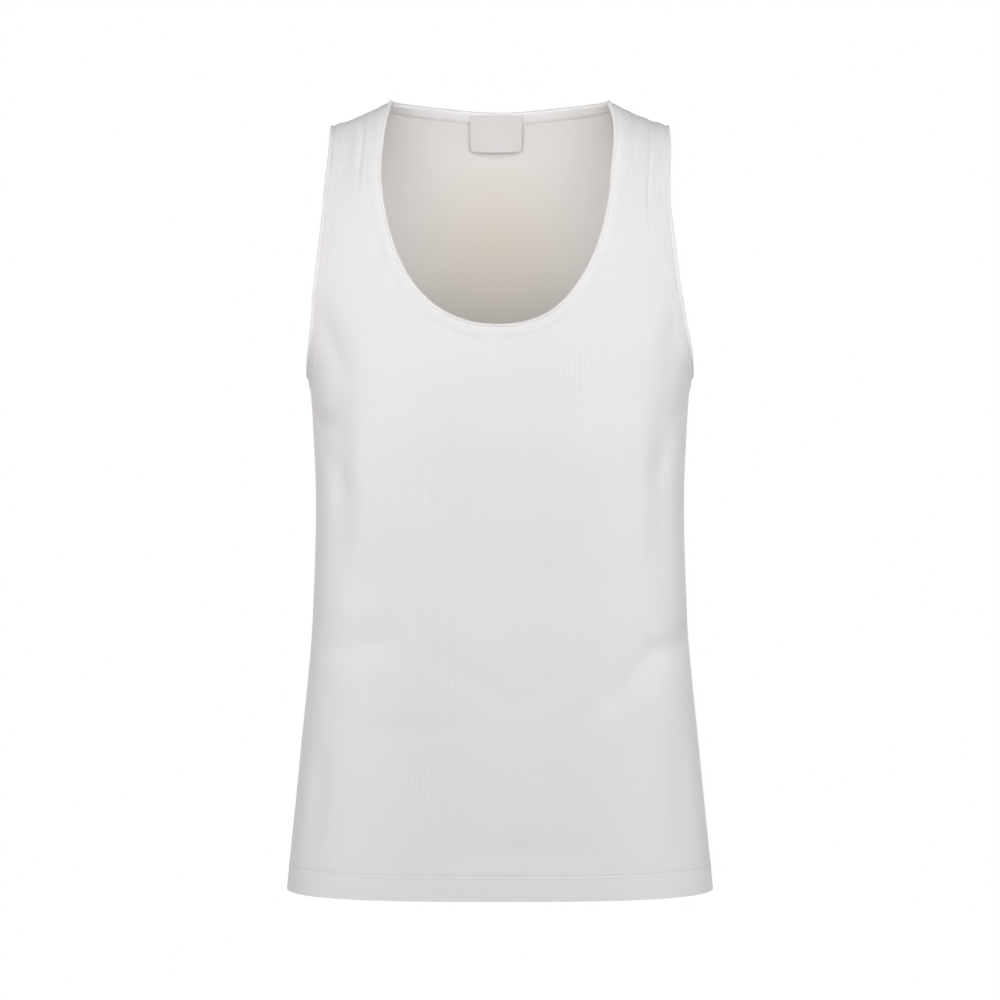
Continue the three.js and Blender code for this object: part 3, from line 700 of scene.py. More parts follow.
# %% Section of the bindings
BINDING_SECTION = [
    (10.6, -0.1), (10.7, 0.15), (10.2, 0.4), (9.2, 0.6), (8.3, 0.5), (7.4, 0.7), (6.0, 0.8),
    (3.8, 0.8), (2.1, 0.6), (1.4, 0.1), (0.9, 1.0), (0.3, 1.7), (-0.4, 1.8), (-1.1, 1.3),
    (-1.6, 0.4), (-1.75, -0.5), (-1.5, -1.3), (-0.8, -1.9), (0.6, -2.1), (3.0, -2.1),
    (6.0, -2.0), (8.6, -1.85), (9.1, -1.55), (8.6, -1.3), (5.0, -1.35), (1.0, -1.4),
    (-0.5, -1.3), (-0.8, -0.3), (-0.4, 0.2), (4.0, 0.2),
]
ROLL_FROM = 10
ROLL_TO = 17
INNER_SHOWN_TO = 22
STRIP_GIRTH = 46.0
STATION_STEP = 0.42
CROSS_RIB_PITCH = 1.65
CROSS_RIB_HEIGHT = 0.2
ROLL_RIB_HEIGHT = 0.36
# Painted highlight: the rolled edge is coloured near the binding's light crest colour. The flat
# strip's cross-rib valleys take painted shade round its middle tone.
ROLL_HIGHLIGHT_TONE = 0.9
FLAT_TONE = 0.55
STRETCHED_SHARE = 0.2
STRETCHED_DROPS = (50.0, 120.0)


def even_stations(panel, across, drop):
    """Places at even steps of length along one stretch of a cut edge."""
    points = surface(panel, across, drop)
    steps = np.linalg.norm(np.diff(points, axis=0), axis=1)
    length = np.concatenate([[0.0], np.cumsum(steps)])
    count = round(length[-1] / STATION_STEP)
    even = np.linspace(0.0, length[-1], count + 1)[:-1]
    return SimpleNamespace(
        panel=panel,
        across=np.interp(even, length, across),
        drop=np.interp(even, length, drop),
        length=length[-1],
    )


def ways_in(stretch, inward):
    """Steps across and down that go one millimetre into the cloth, at right angles to its edge."""
    along_row, down_row = slopes(stretch.panel, stretch.across, stretch.drop)
    a = (along_row * along_row).sum(axis=1)
    b = (along_row * down_row).sum(axis=1)
    c = (down_row * down_row).sum(axis=1)
    p = (inward * along_row).sum(axis=1)
    q = (inward * down_row).sum(axis=1)
    scale = 1 / (a * c - b * b)
    return (p * c - q * b) * scale, (q * a - p * b) * scale


def edge_frames(stretches, turn):
    """Gives each stretch its normals and its ways into the cloth, and counts the stations."""
    points = []
    for stretch in stretches:
        zero = np.zeros_like(stretch.across)
        points.append(cloth_point(stretch.panel, stretch.across, stretch.drop, zero))
        stretch.normal = outward(stretch.panel, stretch.across, stretch.drop)
    base = np.concatenate(points)
    tangent = unit(np.roll(base, -1, axis=0) - np.roll(base, 1, axis=0)) * turn
    normal = np.concatenate([stretch.normal for stretch in stretches])
    inward = unit(np.cross(tangent, normal))
    first = 0
    for stretch in stretches:
        last = first + len(stretch.across)
        stretch.inward = inward[first:last]
        stretch.step_across, stretch.step_down = ways_in(stretch, stretch.inward)
        first = last
    return len(base)


def beside_edge(stretch, into, out):
    """Points at a distance into the cloth from the edge, or past it where into is negative."""
    reach = max(into, 0.0)
    across = stretch.across + stretch.step_across * reach
    drop = np.clip(stretch.drop + stretch.step_down * reach, 0.0, HEM_DROP)
    point = cloth_point(stretch.panel, across, drop, np.broadcast_to(out, across.shape))
    return point - stretch.inward * max(-into, 0.0)


print(len(BINDING_SECTION), "points round the folded strip")

# %% [markdown]
# A binding is a loop of cloth, so it starts as a grid as long as the loop and as wide as the
# way round the section. The grid's flat places become its UV map, then it is wrapped round the
# edge, and its ends and sides are merged. The strip's own ribs run across it. They stand up
# near the shoulders and along the turned edge, and lie nearly flat elsewhere round each curve,
# where the strip was stretched.

# %% Bindings
RISE_SHAPE = 0.7
RISE_MIDDLE = 0.5
PAST_EDGE_BLEND = (-3.0, 1.0)
WELD = 1e-6


def armhole_stretches(sign):
    parts = []
    for panel, downward in ((front, True), (back, False)):
        drops, across = panel.armhole
        order = slice(None) if downward else slice(None, None, -1)
        parts.append(even_stations(panel, sign * across[order], drops[order]))
    return parts


def neck_stretches():
    root = np.linspace(0.0, 1.0, EDGE_STEPS)
    falling = np.unique(SCOOP_BOTTOM * np.concatenate([root**2, 1 - root**2]))
    across = front_neck_across(falling)
    right_up = even_stations(front, across[::-1], falling[::-1])
    left_down = even_stations(front, -across, falling)
    over = STRAP_INNER * np.cos(np.linspace(0.0, math.pi, 2 * EDGE_STEPS))
    behind = even_stations(back, over, back_neck_drop(over))
    return [right_up, behind, left_down]


def wrap(stretches, rise):
    """The strip's points by section and station, and how far its ribs stand at each station."""
    rings = []
    slacks = []
    first = 0
    for stretch in stretches:
        slack = 1 - (1 - STRETCHED_SHARE) * smooth_step(stretch.drop, *STRETCHED_DROPS)
        lift = rise[first:first + len(stretch.across)]
        ring = []
        for i, (into, out) in enumerate(BINDING_SECTION):
            rolled = ROLL_FROM <= i < ROLL_TO
            height = ROLL_RIB_HEIGHT if rolled else CROSS_RIB_HEIGHT * slack
            outside = 1 if i < ROLL_TO else -1
            raised = outside * height * lift if i < INNER_SHOWN_TO else 0.0
            point = beside_edge(stretch, into, out + raised)
            if rolled:
                past = smooth_step(-into, *PAST_EDGE_BLEND)
                point = point - stretch.inward * (height * lift)[:, None] * past
            ring.append(point)
        rings.append(np.stack(ring))
        slacks.append(slack)
        first += len(stretch.across)
    return np.concatenate(rings, axis=1), np.concatenate(slacks)


def bind(name, stretches, turn):
    count = edge_frames(stretches, turn)
    total = sum(stretch.length for stretch in stretches)
    ribs = round(total / CROSS_RIB_PITCH)
    around = np.arange(count) / count
    rise = np.abs(np.cos(math.pi * around * ribs)) ** RISE_SHAPE - RISE_MIDDLE
    points, slack = wrap(stretches, rise)
    points = points * MM
    mesh = bmesh.new()
    uv = mesh.loops.layers.uv.new("cloth")
    rib_layer = mesh.verts.layers.float.new("rib")
    sides = len(BINDING_SECTION)
    made = bmesh.ops.create_grid(mesh, x_segments=count, y_segments=sides, size=1.0)["verts"]
    places = [((v.co.x + 1) / 2 * count, (v.co.y + 1) / 2 * sides) for v in made]
    for vert, (station, side) in zip(made, places):
        for loop in vert.link_loops:
            loop[uv].uv = (station / count * total * MM, side / sides * STRIP_GIRTH * MM)
        station, side = round(station) % count, round(side) % sides
        vert.co = points[side, station]
        # Painted highlight on the rolled edge; elsewhere painted shade in the cross-rib valleys,
        # less where the strip was stretched.
        if ROLL_FROM <= side < ROLL_TO:
            vert[rib_layer] = ROLL_HIGHLIGHT_TONE + rise[station]
        else:
            vert[rib_layer] = FLAT_TONE + rise[station] * slack[station]
    bmesh.ops.remove_doubles(mesh, verts=mesh.verts, dist=WELD)
    print(f"{name}: {total:.0f} mm long, {ribs} cross ribs")
    return finish_mesh(mesh, name, "binding_cotton", sharp=70.0), total * MM


neck_parts = neck_stretches()
neck_band, neck_length = bind("neck_band", neck_parts, 1)
right_parts = armhole_stretches(1)
armhole_band_right, armhole_length = bind("armhole_band_right", right_parts, 1)
left_parts = armhole_stretches(-1)
armhole_band_left, armhole_length = bind("armhole_band_left", left_parts, -1)

# %% [markdown]
# Sewing is what makes cloth look sewn. One stitch is a small rounded bar of thread, and a row
# of them is one piece. The twin rows of the hem hold its turned-up edge, a row runs along each
# binding, and a short row crosses each strap where front and back are joined.

# %% Stitches
STITCH_RADIUS = 0.26
STITCH_SINK = 0.15
STITCH_SIZES = {
    "hem_stitches": (2.7, 3.0),
    "neck_stitches": (2.2, 2.5),
    "armhole_stitches_right": (2.2, 2.5),
    "armhole_stitches_left": (2.2, 2.5),
    "shoulder_stitches": (1.8, 2.3),
    "label_stitches": (1.4, 1.7),
}
DIRECTION_STEP = 0.4
HEM_TWIN = 3.2
HEM_POINTS = 900
HEM_LIFT_SHARE = 0.6
HEM_LIFT = 0.1
BAND_GROOVE = (8.3, 0.5)
SHOULDER_INSET = 9.0
SHOULDER_POINTS = 60
SHOULDER_DROP = 1.6
SHOULDER_LIFT = 0.45


def line_at(length, values, at):
    """The values that go with a line, read off at the given lengths along it."""
    return np.stack([np.interp(at, length, values[:, k]) for k in range(3)], axis=1)


def stitch_rows(name, rows):
    """rows holds points along each seam and the outward directions there, in millimetres."""
    long, pitch = STITCH_SIZES[name]
    mesh = bmesh.new()
    total = 0
    for points, normals in rows:
        steps = np.linalg.norm(np.diff(points, axis=0), axis=1)
        length = np.concatenate([[0.0], np.cumsum(steps)])
        count = int(length[-1] / pitch)
        at = (np.arange(count) + 0.5) * pitch
        up = unit(line_at(length, normals, at))
        centre = line_at(length, points, at) + up * (STITCH_RADIUS - STITCH_SINK)
        ahead = line_at(length, points, at + DIRECTION_STEP)
        along = unit(ahead - line_at(length, points, at - DIRECTION_STEP))
        side = unit(np.cross(up, along))
        axes = (along * long / 2, side * STITCH_RADIUS, up * STITCH_RADIUS, centre)
        places = np.tile(np.eye(4), (count, 1, 1))
        places[:, :3] = np.stack(axes, axis=2)
        for place in places:
            matrix = Matrix.Scale(MM, 4) @ Matrix(place)
            bmesh.ops.create_icosphere(mesh, subdivisions=1, radius=1.0, matrix=matrix)
        total += count
    print(f"{name}: {total} stitches")
    return finish_mesh(mesh, name, "binding_cotton", sharp=80.0)


def hem_rows():
    rows = []
    for panel in (front, back):
        across = np.linspace(-panel.side, panel.side, HEM_POINTS)
        for aside in (-HEM_TWIN / 2, HEM_TWIN / 2):
            drop = np.full(across.shape, HEM_STITCH_DROP + aside)
            lift = outer_lift(across, drop) * HEM_LIFT_SHARE + HEM_LIFT
            points = cloth_point(panel, across, drop, lift)
            rows.append((points, outward(panel, across, drop)))
    return rows


def band_rows(stretches):
    points = np.concatenate([beside_edge(stretch, *BAND_GROOVE) for stretch in stretches])
    normals = np.concatenate([stretch.normal for stretch in stretches])
    return [(np.concatenate([points, points[:1]]), np.concatenate([normals, normals[:1]]))]


def shoulder_rows():
    rows = []
    ends = (STRAP_INNER + SHOULDER_INSET, STRAP_OUTER - SHOULDER_INSET)
    for panel in (front, back):
        for sign in (-1, 1):
            across = sign * np.linspace(*ends, SHOULDER_POINTS)
            drop = np.full(across.shape, SHOULDER_DROP)
            points = cloth_point(panel, across, drop, np.full(across.shape, SHOULDER_LIFT))
            rows.append((points, outward(panel, across, drop)))
    return rows


hem_stitches = stitch_rows("hem_stitches", hem_rows())
neck_stitches = stitch_rows("neck_stitches", band_rows(neck_parts))
right_stitches = stitch_rows("armhole_stitches_right", band_rows(right_parts))
left_stitches = stitch_rows("armhole_stitches_left", band_rows(left_parts))
shoulder_stitches = stitch_rows("shoulder_stitches", shoulder_rows())

# %% [markdown]
# Inside, each side seam and shoulder seam has its allowance: the two edges of cloth overlocked
# together into a narrow soft bead. It closes the seam as the real one does, so no light shows
# between the panels. The bead is a small ring of points carried along the seam.

# %% Seam allowances
SEAM_SIDES = 8
SEAM_HALF_WIDTH = 2.4
SEAM_HALF_DEPTH = 0.9
SIDE_SEAM_ENDS = (UNDERARM_DROP + 3.0, HEM_DROP - 1.0)
SIDE_SEAM_POINTS = 140
SIDE_SEAM_INSIDE = WALL + 0.6
STRAP_SEAM_ENDS = (STRAP_INNER + 3.0, STRAP_OUTER - 3.0)
STRAP_SEAM_POINTS = 24
STRAP_SEAM_INSIDE = WALL + 0.7


def seam_bead(mesh, line, inward):
    """A closed bar along a seam, pressed flat against the cloth."""
    along = unit(np.gradient(line, axis=0))
    side = unit(np.cross(along, inward))
    last = len(line) - 1
    made = bmesh.ops.create_grid(mesh, x_segments=last, y_segments=SEAM_SIDES, size=1.0)["verts"]
    for vert in made:
        at = round((vert.co.x + 1) / 2 * last)
        angle = round((vert.co.y + 1) / 2 * SEAM_SIDES) % SEAM_SIDES * 2 * math.pi / SEAM_SIDES
        wide = side[at] * (math.cos(angle) * SEAM_HALF_WIDTH)
        deep = inward[at] * (math.sin(angle) * SEAM_HALF_DEPTH)
        vert.co = (line[at] + wide + deep) * MM
    bmesh.ops.remove_doubles(mesh, verts=made, dist=WELD)
    ends = [edge for edge in mesh.edges if edge.is_boundary]
    bmesh.ops.holes_fill(mesh, edges=ends, sides=SEAM_SIDES)


def seam_lines(sign):
    drop = np.linspace(*SIDE_SEAM_ENDS, SIDE_SEAM_POINTS)
    side = surface(front, np.full(drop.shape, sign * front.side), drop)
    inside = np.tile([-float(sign), 0.0, 0.0], (len(drop), 1))
    side_line = side + inside * SIDE_SEAM_INSIDE
    side_line[:, 1] = 0.0
    across = sign * np.linspace(*STRAP_SEAM_ENDS, STRAP_SEAM_POINTS)
    top = surface(front, across, np.zeros_like(across))
    below = -outward(front, across, np.zeros_like(across))
    below[:, 1] = 0.0
    below = unit(below)
    return [(side_line, inside), (top + below * STRAP_SEAM_INSIDE, below)]


for sign, side_name in ((1, "right"), (-1, "left")):
    seam_mesh = bmesh.new()
    for line, inward in seam_lines(sign):
        seam_bead(seam_mesh, line, inward)
    seam_name = f"seam_allowances_{side_name}"
    finish_mesh(seam_mesh, seam_name, "rib_cotton", sharp=80.0)

# %% [markdown]
# The label is a small blank piece of woven tape that hangs inside the back neck. It starts as
# one rectangle. Its lower corners are rounded by a vertex bevel, cuts give it rows to bend,
# and it gets its thickness last.

# %% Label
LABEL_WIDTH = 43.0
LABEL_HEIGHT = 32.0
LABEL_CORNER = 4.0
LABEL_CORNER_STEPS = 6
LABEL_ABOVE = 1.5
LABEL_ASIDE = -3.3
LABEL_DEPTH = 0.6
LABEL_INSIDE = 5.8
LABEL_CUTS = 14
LABEL_CURL = 0.5
LABEL_WAVES = 5.0
TACK_STARTS = (-20.5, 17.0)
TACK_RUN = 3.5
TACK_BELOW = 2.0
TACK_LIFT = 0.7


def flat_label():
    """The label's outline lying flat, with the cuts that let it bend."""
    mesh = bmesh.new()
    corners = [(-1, 0), (1, 0), (1, 1), (-1, 1)]
    flat = [mesh.verts.new((x * LABEL_WIDTH / 2, -down * LABEL_HEIGHT, 0)) for x, down in corners]
    mesh.faces.new(flat)
    bmesh.ops.bevel(
        mesh, geom=flat[2:], offset=LABEL_CORNER, affect="VERTICES",
        segments=LABEL_CORNER_STEPS, profile=0.5, material=-1,
    )
    steps = range(1, LABEL_CUTS)
    cuts = [((LABEL_WIDTH * (i / LABEL_CUTS - 0.5), 0, 0), (1, 0, 0)) for i in steps]
    cuts += [((0, -LABEL_HEIGHT * i / LABEL_CUTS, 0), (0, 1, 0)) for i in steps]
    for place, normal in cuts:
        everything = mesh.verts[:] + mesh.edges[:] + mesh.faces[:]
        bmesh.ops.bisect_plane(mesh, geom=everything, plane_co=place, plane_no=normal)
    return mesh


def hang_label():
    mesh = flat_label()
    uv = mesh.loops.layers.uv.new("cloth")
    for face in mesh.faces:
        for loop in face.loops:
            loop[uv].uv = (loop.vert.co.x * MM, loop.vert.co.y * MM)
    made = bmesh.ops.extrude_face_region(mesh, geom=mesh.faces[:], use_keep_orig=True)
    nearer = [item for item in made["geom"] if isinstance(item, bmesh.types.BMVert)]
    bmesh.ops.translate(mesh, verts=nearer, vec=(0, 0, LABEL_DEPTH))
    bmesh.ops.recalc_face_normals(mesh, faces=mesh.faces)
    top_drop = float(back_neck_drop(0.0)) - LABEL_ABOVE
    drops = np.array([top_drop, top_drop + LABEL_HEIGHT])
    top, foot = cloth_point(back, np.zeros(2), drops, np.full(2, -LABEL_INSIDE))
    down = unit(foot - top)
    near = np.cross(down, [1.0, 0.0, 0.0])
    for vert in mesh.verts:
        wave = math.cos(vert.co.x / LABEL_WIDTH * LABEL_WAVES)
        curl = LABEL_CURL * (vert.co.y / LABEL_HEIGHT) ** 2 * wave
        point = top - down * vert.co.y + near * (vert.co.z + curl)
        vert.co = ((LABEL_ASIDE + vert.co.x) * MM, point[1] * MM, point[2] * MM)
    print(f"label faces {'-Y' if near[1] < 0 else '+Y'}")
    return finish_mesh(mesh, "blank_label", "label_tape", sharp=50.0), top, down, near


blank_label, label_top, label_down, label_near = hang_label()
tack_line = label_top + label_down * TACK_BELOW + label_near * TACK_LIFT
tack_rows = []
for start in TACK_STARTS:
    ends = [tack_line + [LABEL_ASIDE + start + run, 0, 0] for run in (0.0, TACK_RUN)]
    tack_rows.append((np.array(ends), np.repeat(label_near[None], 2, axis=0)))
label_stitches = stitch_rows("label_stitches", tack_rows)

# %% [markdown]
# Materials are built from nodes. Three helpers take up what repeats: an input is named, and what
# it gets is a plain value or the output of another node.

# %% Node helpers
WHITE = (1.0, 1.0, 1.0, 1.0)


def feed(tree, node, inputs):
    """Sets each named input of a node to a plain value, or links it to another node's output."""
    for name, value in inputs.items():
        if isinstance(value, bpy.types.NodeSocket):
            tree.links.new(value, node.inputs[name])
        else:
            node.inputs[name].default_value = value
    return node


def mix_colors(tree, factor, first, second, blend="MIX"):
    node = tree.nodes.new("ShaderNodeMix")
    node.data_type = "RGBA"
    node.blend_type = blend
    feed(tree, node, {"Factor": factor, "A": first, "B": second})
    return node.outputs["Result"]


def new_material(name):
    material = bpy.data.materials.new(name)
    material.use_nodes = True
    return material, material.node_tree, material.node_tree.nodes["Principled BSDF"]


print("node helpers ready in Blender", bpy.app.version_string)

# %% [markdown]
# All the cotton here is one knit, and the knit is a node group with named inputs. A rib's valley
# is painted darker than its crest, as painted shade. Fine stitches and fuzz give the surface its
# grain, slow clouds of tone keep a large area from looking printed, and the inner face is
# painted darker and warmer than the outer, as painted shade.

# %% Knit group
KNIT_INPUTS = [
    ("Crest", "NodeSocketColor", (0.8, 0.8, 0.8, 1.0)),
    # The valley colour is painted shade in the rib valleys.
    ("Valley", "NodeSocketColor", (0.7, 0.7, 0.7, 1.0)),
    # The inside colour is painted shade on the inner face.
    ("Inside", "NodeSocketColor", WHITE),
    ("Wale", "NodeSocketFloat", 900.0),
    ("Course", "NodeSocketFloat", 800.0),
]
KNIT_OUTPUTS = [
    ("Color", "NodeSocketColor"),
    ("Roughness", "NodeSocketFloat"),
    ("Height", "NodeSocketFloat"),
]
COURSE_WOBBLE = 1.2
FUZZ = {"Scale": 1400.0, "Detail": 3.0}
CLOUDS = {"Scale": 22.0, "Detail": 2.0}
STITCH_TONE = 0.012
FUZZ_TONE = 0.04
CLOUD_TONE = 0.03
LEAST_TONE = 0.955
FUZZ_ROUGHNESS = 0.12
LEAST_ROUGHNESS = 0.8
STITCH_HEIGHT = 0.6
FUZZ_HEIGHT = 0.5


def knit_group():
    group = bpy.data.node_groups.new("cotton_knit", "ShaderNodeTree")
    for name, kind, default in KNIT_INPUTS:
        socket = group.interface.new_socket(name=name, in_out="INPUT", socket_type=kind)
        socket.default_value = default
    for name, kind in KNIT_OUTPUTS:
        group.interface.new_socket(name=name, in_out="OUTPUT", socket_type=kind)
    nodes = group.nodes
    entry = nodes.new("NodeGroupInput")
    place = nodes.new("ShaderNodeTexCoord")

    def calculate(kind, *values):
        node = nodes.new("ShaderNodeMath")
        node.operation = kind
        return feed(group, node, dict(enumerate(values))).outputs[0]

    def times(value, share):
        return calculate("MULTIPLY", value, share)

    def add(*values):
        total = values[0]
        for value in values[1:]:
            total = calculate("ADD", total, value)
        return total

    def noise(inputs):
        node = feed(group, nodes.new("ShaderNodeTexNoise"), inputs)
        return feed(group, node, {"Vector": place.outputs["Object"]}).outputs["Fac"]

    def attribute(name):
        node = nodes.new("ShaderNodeAttribute")
        node.attribute_name = name
        return node.outputs["Fac"]

    uv = nodes.new("ShaderNodeUVMap")
    uv.uv_map = "cloth"
    parts = feed(group, nodes.new("ShaderNodeSeparateXYZ"), {0: uv.outputs["UV"]})
    wale = calculate("SINE", times(parts.outputs["X"], entry.outputs["Wale"]))
    bulge = calculate("ABSOLUTE", wale)
    course_at = times(parts.outputs["Y"], entry.outputs["Course"])
    course = calculate("SINE", add(course_at, times(bulge, COURSE_WOBBLE)))
    stitches = times(bulge, add(times(course, 0.5), 0.5))
    fuzz = noise(FUZZ)
    clouds = noise(CLOUDS)

    # Painted shade: the rib valleys are coloured darker than the crests.
    ribs = mix_colors(group, attribute("rib"), entry.outputs["Valley"], entry.outputs["Crest"])
    grain = add(times(stitches, STITCH_TONE), times(fuzz, FUZZ_TONE))
    tone = add(grain, times(clouds, CLOUD_TONE), LEAST_TONE)
    shade = nodes.new("ShaderNodeVectorMath")
    shade.operation = "SCALE"
    feed(group, shade, {0: ribs, "Scale": tone})
    # Painted shade: the inner face's colour is multiplied by the inside colour, as far as its
    # inside attribute says.
    inside_shade_tint = entry.outputs["Inside"]
    feed(group, nodes.new("NodeGroupOutput"), {
        "Color": mix_colors(group, attribute("inside"), shade.outputs[0], inside_shade_tint, "MULTIPLY"),
        "Roughness": add(times(fuzz, FUZZ_ROUGHNESS), LEAST_ROUGHNESS),
        "Height": add(times(stitches, STITCH_HEIGHT), times(fuzz, FUZZ_HEIGHT)),
    })
    return group


cotton_knit = knit_group()
print("knit group has", len(cotton_knit.nodes), "nodes")

# %% Cotton materials
CREST = (0.874, 0.86, 0.862, 1.0)
# The valley colours are painted shade in the rib valleys.
VALLEY_SHADE = (0.812, 0.797, 0.798, 1.0)
# The inside colour is painted shade: it tints the inner face darker and warmer.
INSIDE_SHADE_TINT = (0.872, 0.83, 0.75, 1.0)
BAND_CREST = (0.912, 0.895, 0.887, 1.0)
# Painted shade in the cross-rib valleys of the bindings.
BAND_VALLEY_SHADE = (0.80, 0.784, 0.782, 1.0)
KNIT_BUMP = {"Strength": 0.25, "Distance": 0.0002}
COTTON_LOOK = {"Sheen Weight": 0.15, "Sheen Roughness": 0.5, "Specular IOR Level": 0.25}


def cotton(name, crest, valley_shade, wales, courses):
    """wales and courses are how many stitches there are to a centimetre each way."""
    material, tree, shader = new_material(name)
    knit = tree.nodes.new("ShaderNodeGroup")
    knit.node_tree = cotton_knit
    feed(tree, knit, {
        "Crest": crest,
        "Valley": valley_shade,
        "Inside": INSIDE_SHADE_TINT,
        "Wale": wales * 100.0 * math.pi,
        "Course": courses * 100.0 * 2 * math.pi,
    })
    relief = feed(tree, tree.nodes.new("ShaderNodeBump"), KNIT_BUMP)
    feed(tree, relief, {"Height": knit.outputs["Height"]})
    feed(tree, shader, COTTON_LOOK)
    feed(tree, shader, {
        "Base Color": knit.outputs["Color"],
        "Roughness": knit.outputs["Roughness"],
        "Normal": relief.outputs["Normal"],
    })
    return material


rib_cotton = cotton("white_rib_cotton", CREST, VALLEY_SHADE, wales=9.2, courses=8.0)
binding_cotton = cotton("white_binding_cotton", BAND_CREST, BAND_VALLEY_SHADE, wales=6.0, courses=9.0)
print("cottons:", rib_cotton.name, "and", binding_cotton.name)

# %% [markdown]
# The label is not knitted but woven, from a smooth warm grey yarn. A fine weave of two crossed
# waves goes into its bump and its colour, and it is a little glossier than the cotton. Each
# piece then gets the material of its slot.

# %% Label tape
THREAD_SCALES = (("X", 420.0), ("Y", 300.0))
TAPE_DARK = (0.735, 0.712, 0.705, 1.0)
TAPE_LIGHT = (0.785, 0.762, 0.755, 1.0)
TAPE_BUMP = {"Strength": 0.3, "Distance": 0.0001}
TAPE_LOOK = {"Roughness": 0.55, "Sheen Weight": 0.1}


def woven_tape():
    material, tree, shader = new_material("pale_woven_tape")
    uv = tree.nodes.new("ShaderNodeUVMap")
    uv.uv_map = "cloth"
    weave = tree.nodes.new("ShaderNodeMath")
    weave.operation = "MULTIPLY"
    for i, (direction, scale) in enumerate(THREAD_SCALES):
        wave = tree.nodes.new("ShaderNodeTexWave")
        wave.bands_direction = direction
        feed(tree, wave, {"Scale": scale, "Vector": uv.outputs["UV"]})
        feed(tree, weave, {i: wave.outputs["Fac"]})
    relief = feed(tree, tree.nodes.new("ShaderNodeBump"), TAPE_BUMP)
    feed(tree, relief, {"Height": weave.outputs[0]})
    feed(tree, shader, TAPE_LOOK)
    feed(tree, shader, {
        "Base Color": mix_colors(tree, weave.outputs[0], TAPE_DARK, TAPE_LIGHT),
        "Normal": relief.outputs["Normal"],
    })
    return material


slots = {"rib_cotton": rib_cotton, "binding_cotton": binding_cotton, "label_tape": woven_tape()}
pieces = [o for o in bpy.data.objects if o.type == "MESH" and "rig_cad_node" not in o]
for piece in pieces:
    piece.data.materials.append(slots[piece["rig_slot"]])
print("materials on", len(pieces), "pieces")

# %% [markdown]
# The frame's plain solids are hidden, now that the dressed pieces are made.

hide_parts("front_panel")
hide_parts("back_panel")
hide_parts("neck_binding")
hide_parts("armhole_binding_right")
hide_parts("armhole_binding_left")
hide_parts("neck_label")

# %% [markdown]
# To the camera the studio is white all round, and it lights the garment with a faint dome. A
# long low softbox before the garment lights what faces the viewer, a smaller one above it lifts
# the chest, and a wing at each side keeps the flanks from going grey. One more stands behind
# for the back, and a narrow snoot lights the inside of the neck. The floor is far below,
# because the garment hangs as on a wearer and rests on nothing.

# %% Studio
FLOOR_BELOW = 0.35
FLOOR_HALF = 6.0
DOME_LIGHT = 0.13
DOME_TINT = (0.97, 0.985, 1.0, 1.0)
LAMP_COLUMNS = ("place", "width", "height", "watts", "tint")
WHITE_LAMP = (1.0, 1.0, 1.0)
WARM_LAMP = (1.0, 0.975, 0.935)
COOL_LAMP = (0.975, 0.98, 1.0)
LAMPS = {
    "front_softbox": ((0.0, -1.6, -0.27), 3.2, 0.5, 17.9, WHITE_LAMP),
    "key_softbox": ((0.0, -1.0, 0.35), 1.2, 0.4, 4.8, WHITE_LAMP),
    "wing_right": ((1.9, -0.1, -0.26), 0.6, 1.4, 10.6, COOL_LAMP),
    "wing_left": ((-1.9, -0.1, -0.2), 0.6, 1.4, 10.1, WARM_LAMP),
    "back_softbox": ((0.0, 1.8, -0.2), 3.2, 0.5, 31.0, WHITE_LAMP),
}
LAMP_AIM = (0.0, 0.0, -0.3)
SNOOT_PLACE = (0.0, -1.2, 0.1)
SNOOT_AIM = (0.0, 0.05, -0.04)
SNOOT_REACH = 0.128
SNOOT_WATTS = 10.6
SNOOT_SIZE = 0.08
FLOOR_LOOK = {"Base Color": (0.2, 0.2, 0.2, 1.0), "Roughness": 0.9}

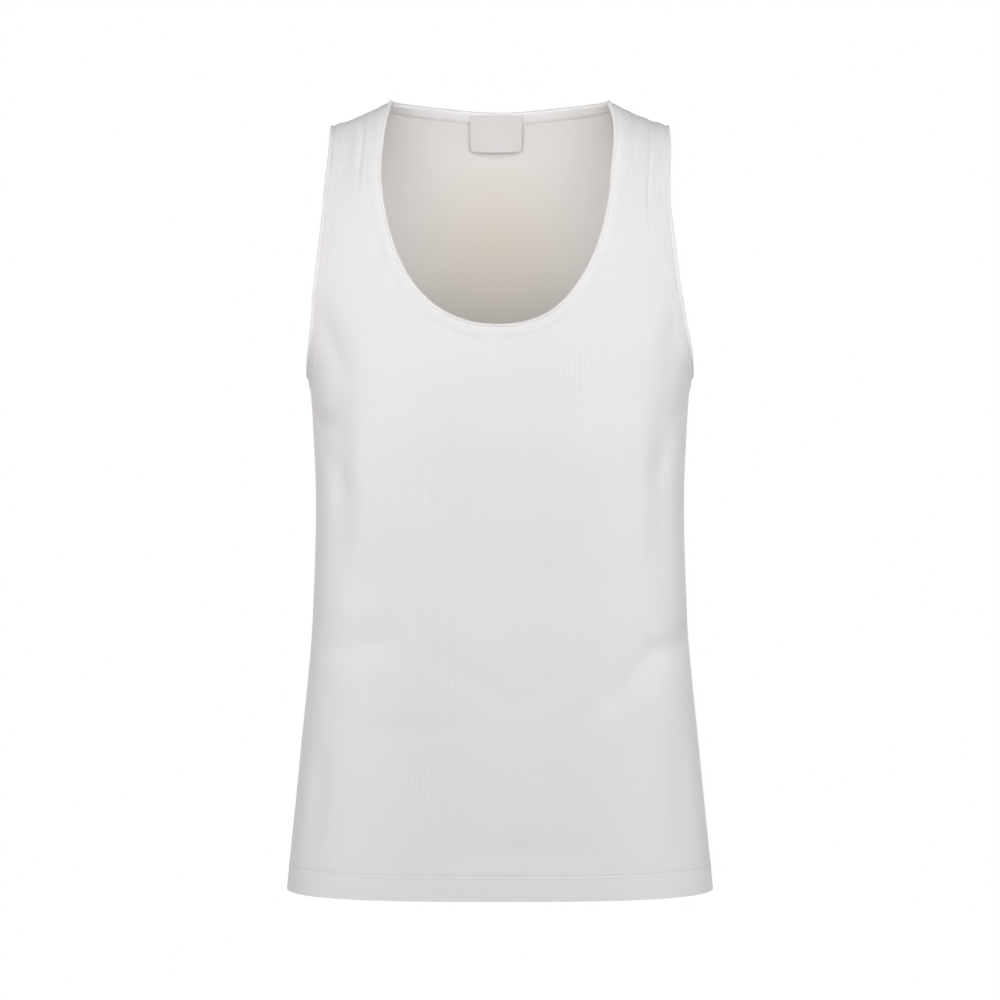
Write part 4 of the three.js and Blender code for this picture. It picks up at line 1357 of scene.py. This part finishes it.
floor_mesh = bmesh.new()
bmesh.ops.create_grid(floor_mesh, x_segments=4, y_segments=4, size=FLOOR_HALF)
bmesh.ops.translate(floor_mesh, verts=floor_mesh.verts, vec=(0, 0, cad_low.z - FLOOR_BELOW))
floor = link_object(floor_mesh, "floor")
paper, paper_tree, paper_shader = new_material("white_paper")
feed(paper_tree, paper_shader, FLOOR_LOOK)
glow = paper_tree.nodes.new("ShaderNodeEmission")
looked_at = paper_tree.nodes.new("ShaderNodeLightPath")
either = feed(paper_tree, paper_tree.nodes.new("ShaderNodeMixShader"), {
    "Fac": looked_at.outputs["Is Camera Ray"],
    1: paper_shader.outputs["BSDF"],
    2: glow.outputs["Emission"],
})
feed(paper_tree, paper_tree.nodes["Material Output"], {"Surface": either.outputs["Shader"]})
floor.data.materials.append(paper)

world = bpy.data.worlds.new("studio")
bpy.context.scene.world = world
world.use_nodes = True
sky = world.node_tree
seen = sky.nodes.new("ShaderNodeLightPath").outputs["Is Camera Ray"]
strength = sky.nodes.new("ShaderNodeMapRange")
feed(sky, strength, {"Value": seen, "To Min": DOME_LIGHT, "To Max": 1.0})
feed(sky, sky.nodes["Background"], {
    "Strength": strength.outputs["Result"],
    "Color": mix_colors(sky, seen, DOME_TINT, WHITE),
})


def stand_lamp(name, data, place, aim):
    lamp = bpy.data.objects.new(name, data)
    lamp.location = place
    toward = Vector(aim) - Vector(place)
    lamp.rotation_euler = toward.to_track_quat("-Z", "Y").to_euler()
    lamp.visible_camera = False
    bpy.context.scene.collection.objects.link(lamp)


for lamp_name, row in LAMPS.items():
    lamp = dict(zip(LAMP_COLUMNS, row))
    lamp_data = bpy.data.lights.new(lamp_name, "AREA")
    lamp_data.shape = "RECTANGLE"
    lamp_data.size = lamp["width"]
    lamp_data.size_y = lamp["height"]
    lamp_data.energy = lamp["watts"]
    lamp_data.color = lamp["tint"]
    stand_lamp(lamp_name, lamp_data, lamp["place"], LAMP_AIM)

snoot = bpy.data.lights.new("neck_snoot", "SPOT")
snoot.energy = SNOOT_WATTS
snoot.spot_size = 2 * math.atan(SNOOT_REACH / abs(SNOOT_PLACE[1]))
snoot.spot_blend = 1.0
snoot.shadow_soft_size = SNOOT_SIZE
stand_lamp("neck_snoot", snoot, SNOOT_PLACE, SNOOT_AIM)

view_settings = bpy.context.scene.view_settings
view_settings.view_transform = "Standard"
view_settings.look = "None"
view_settings.exposure = 0.0
print(len(LAMPS), "softboxes and a dome of", DOME_LIGHT)

# %% Sizes, and the end
print("frame", [round(x, 4) for x in (*cad_low, *cad_high)])
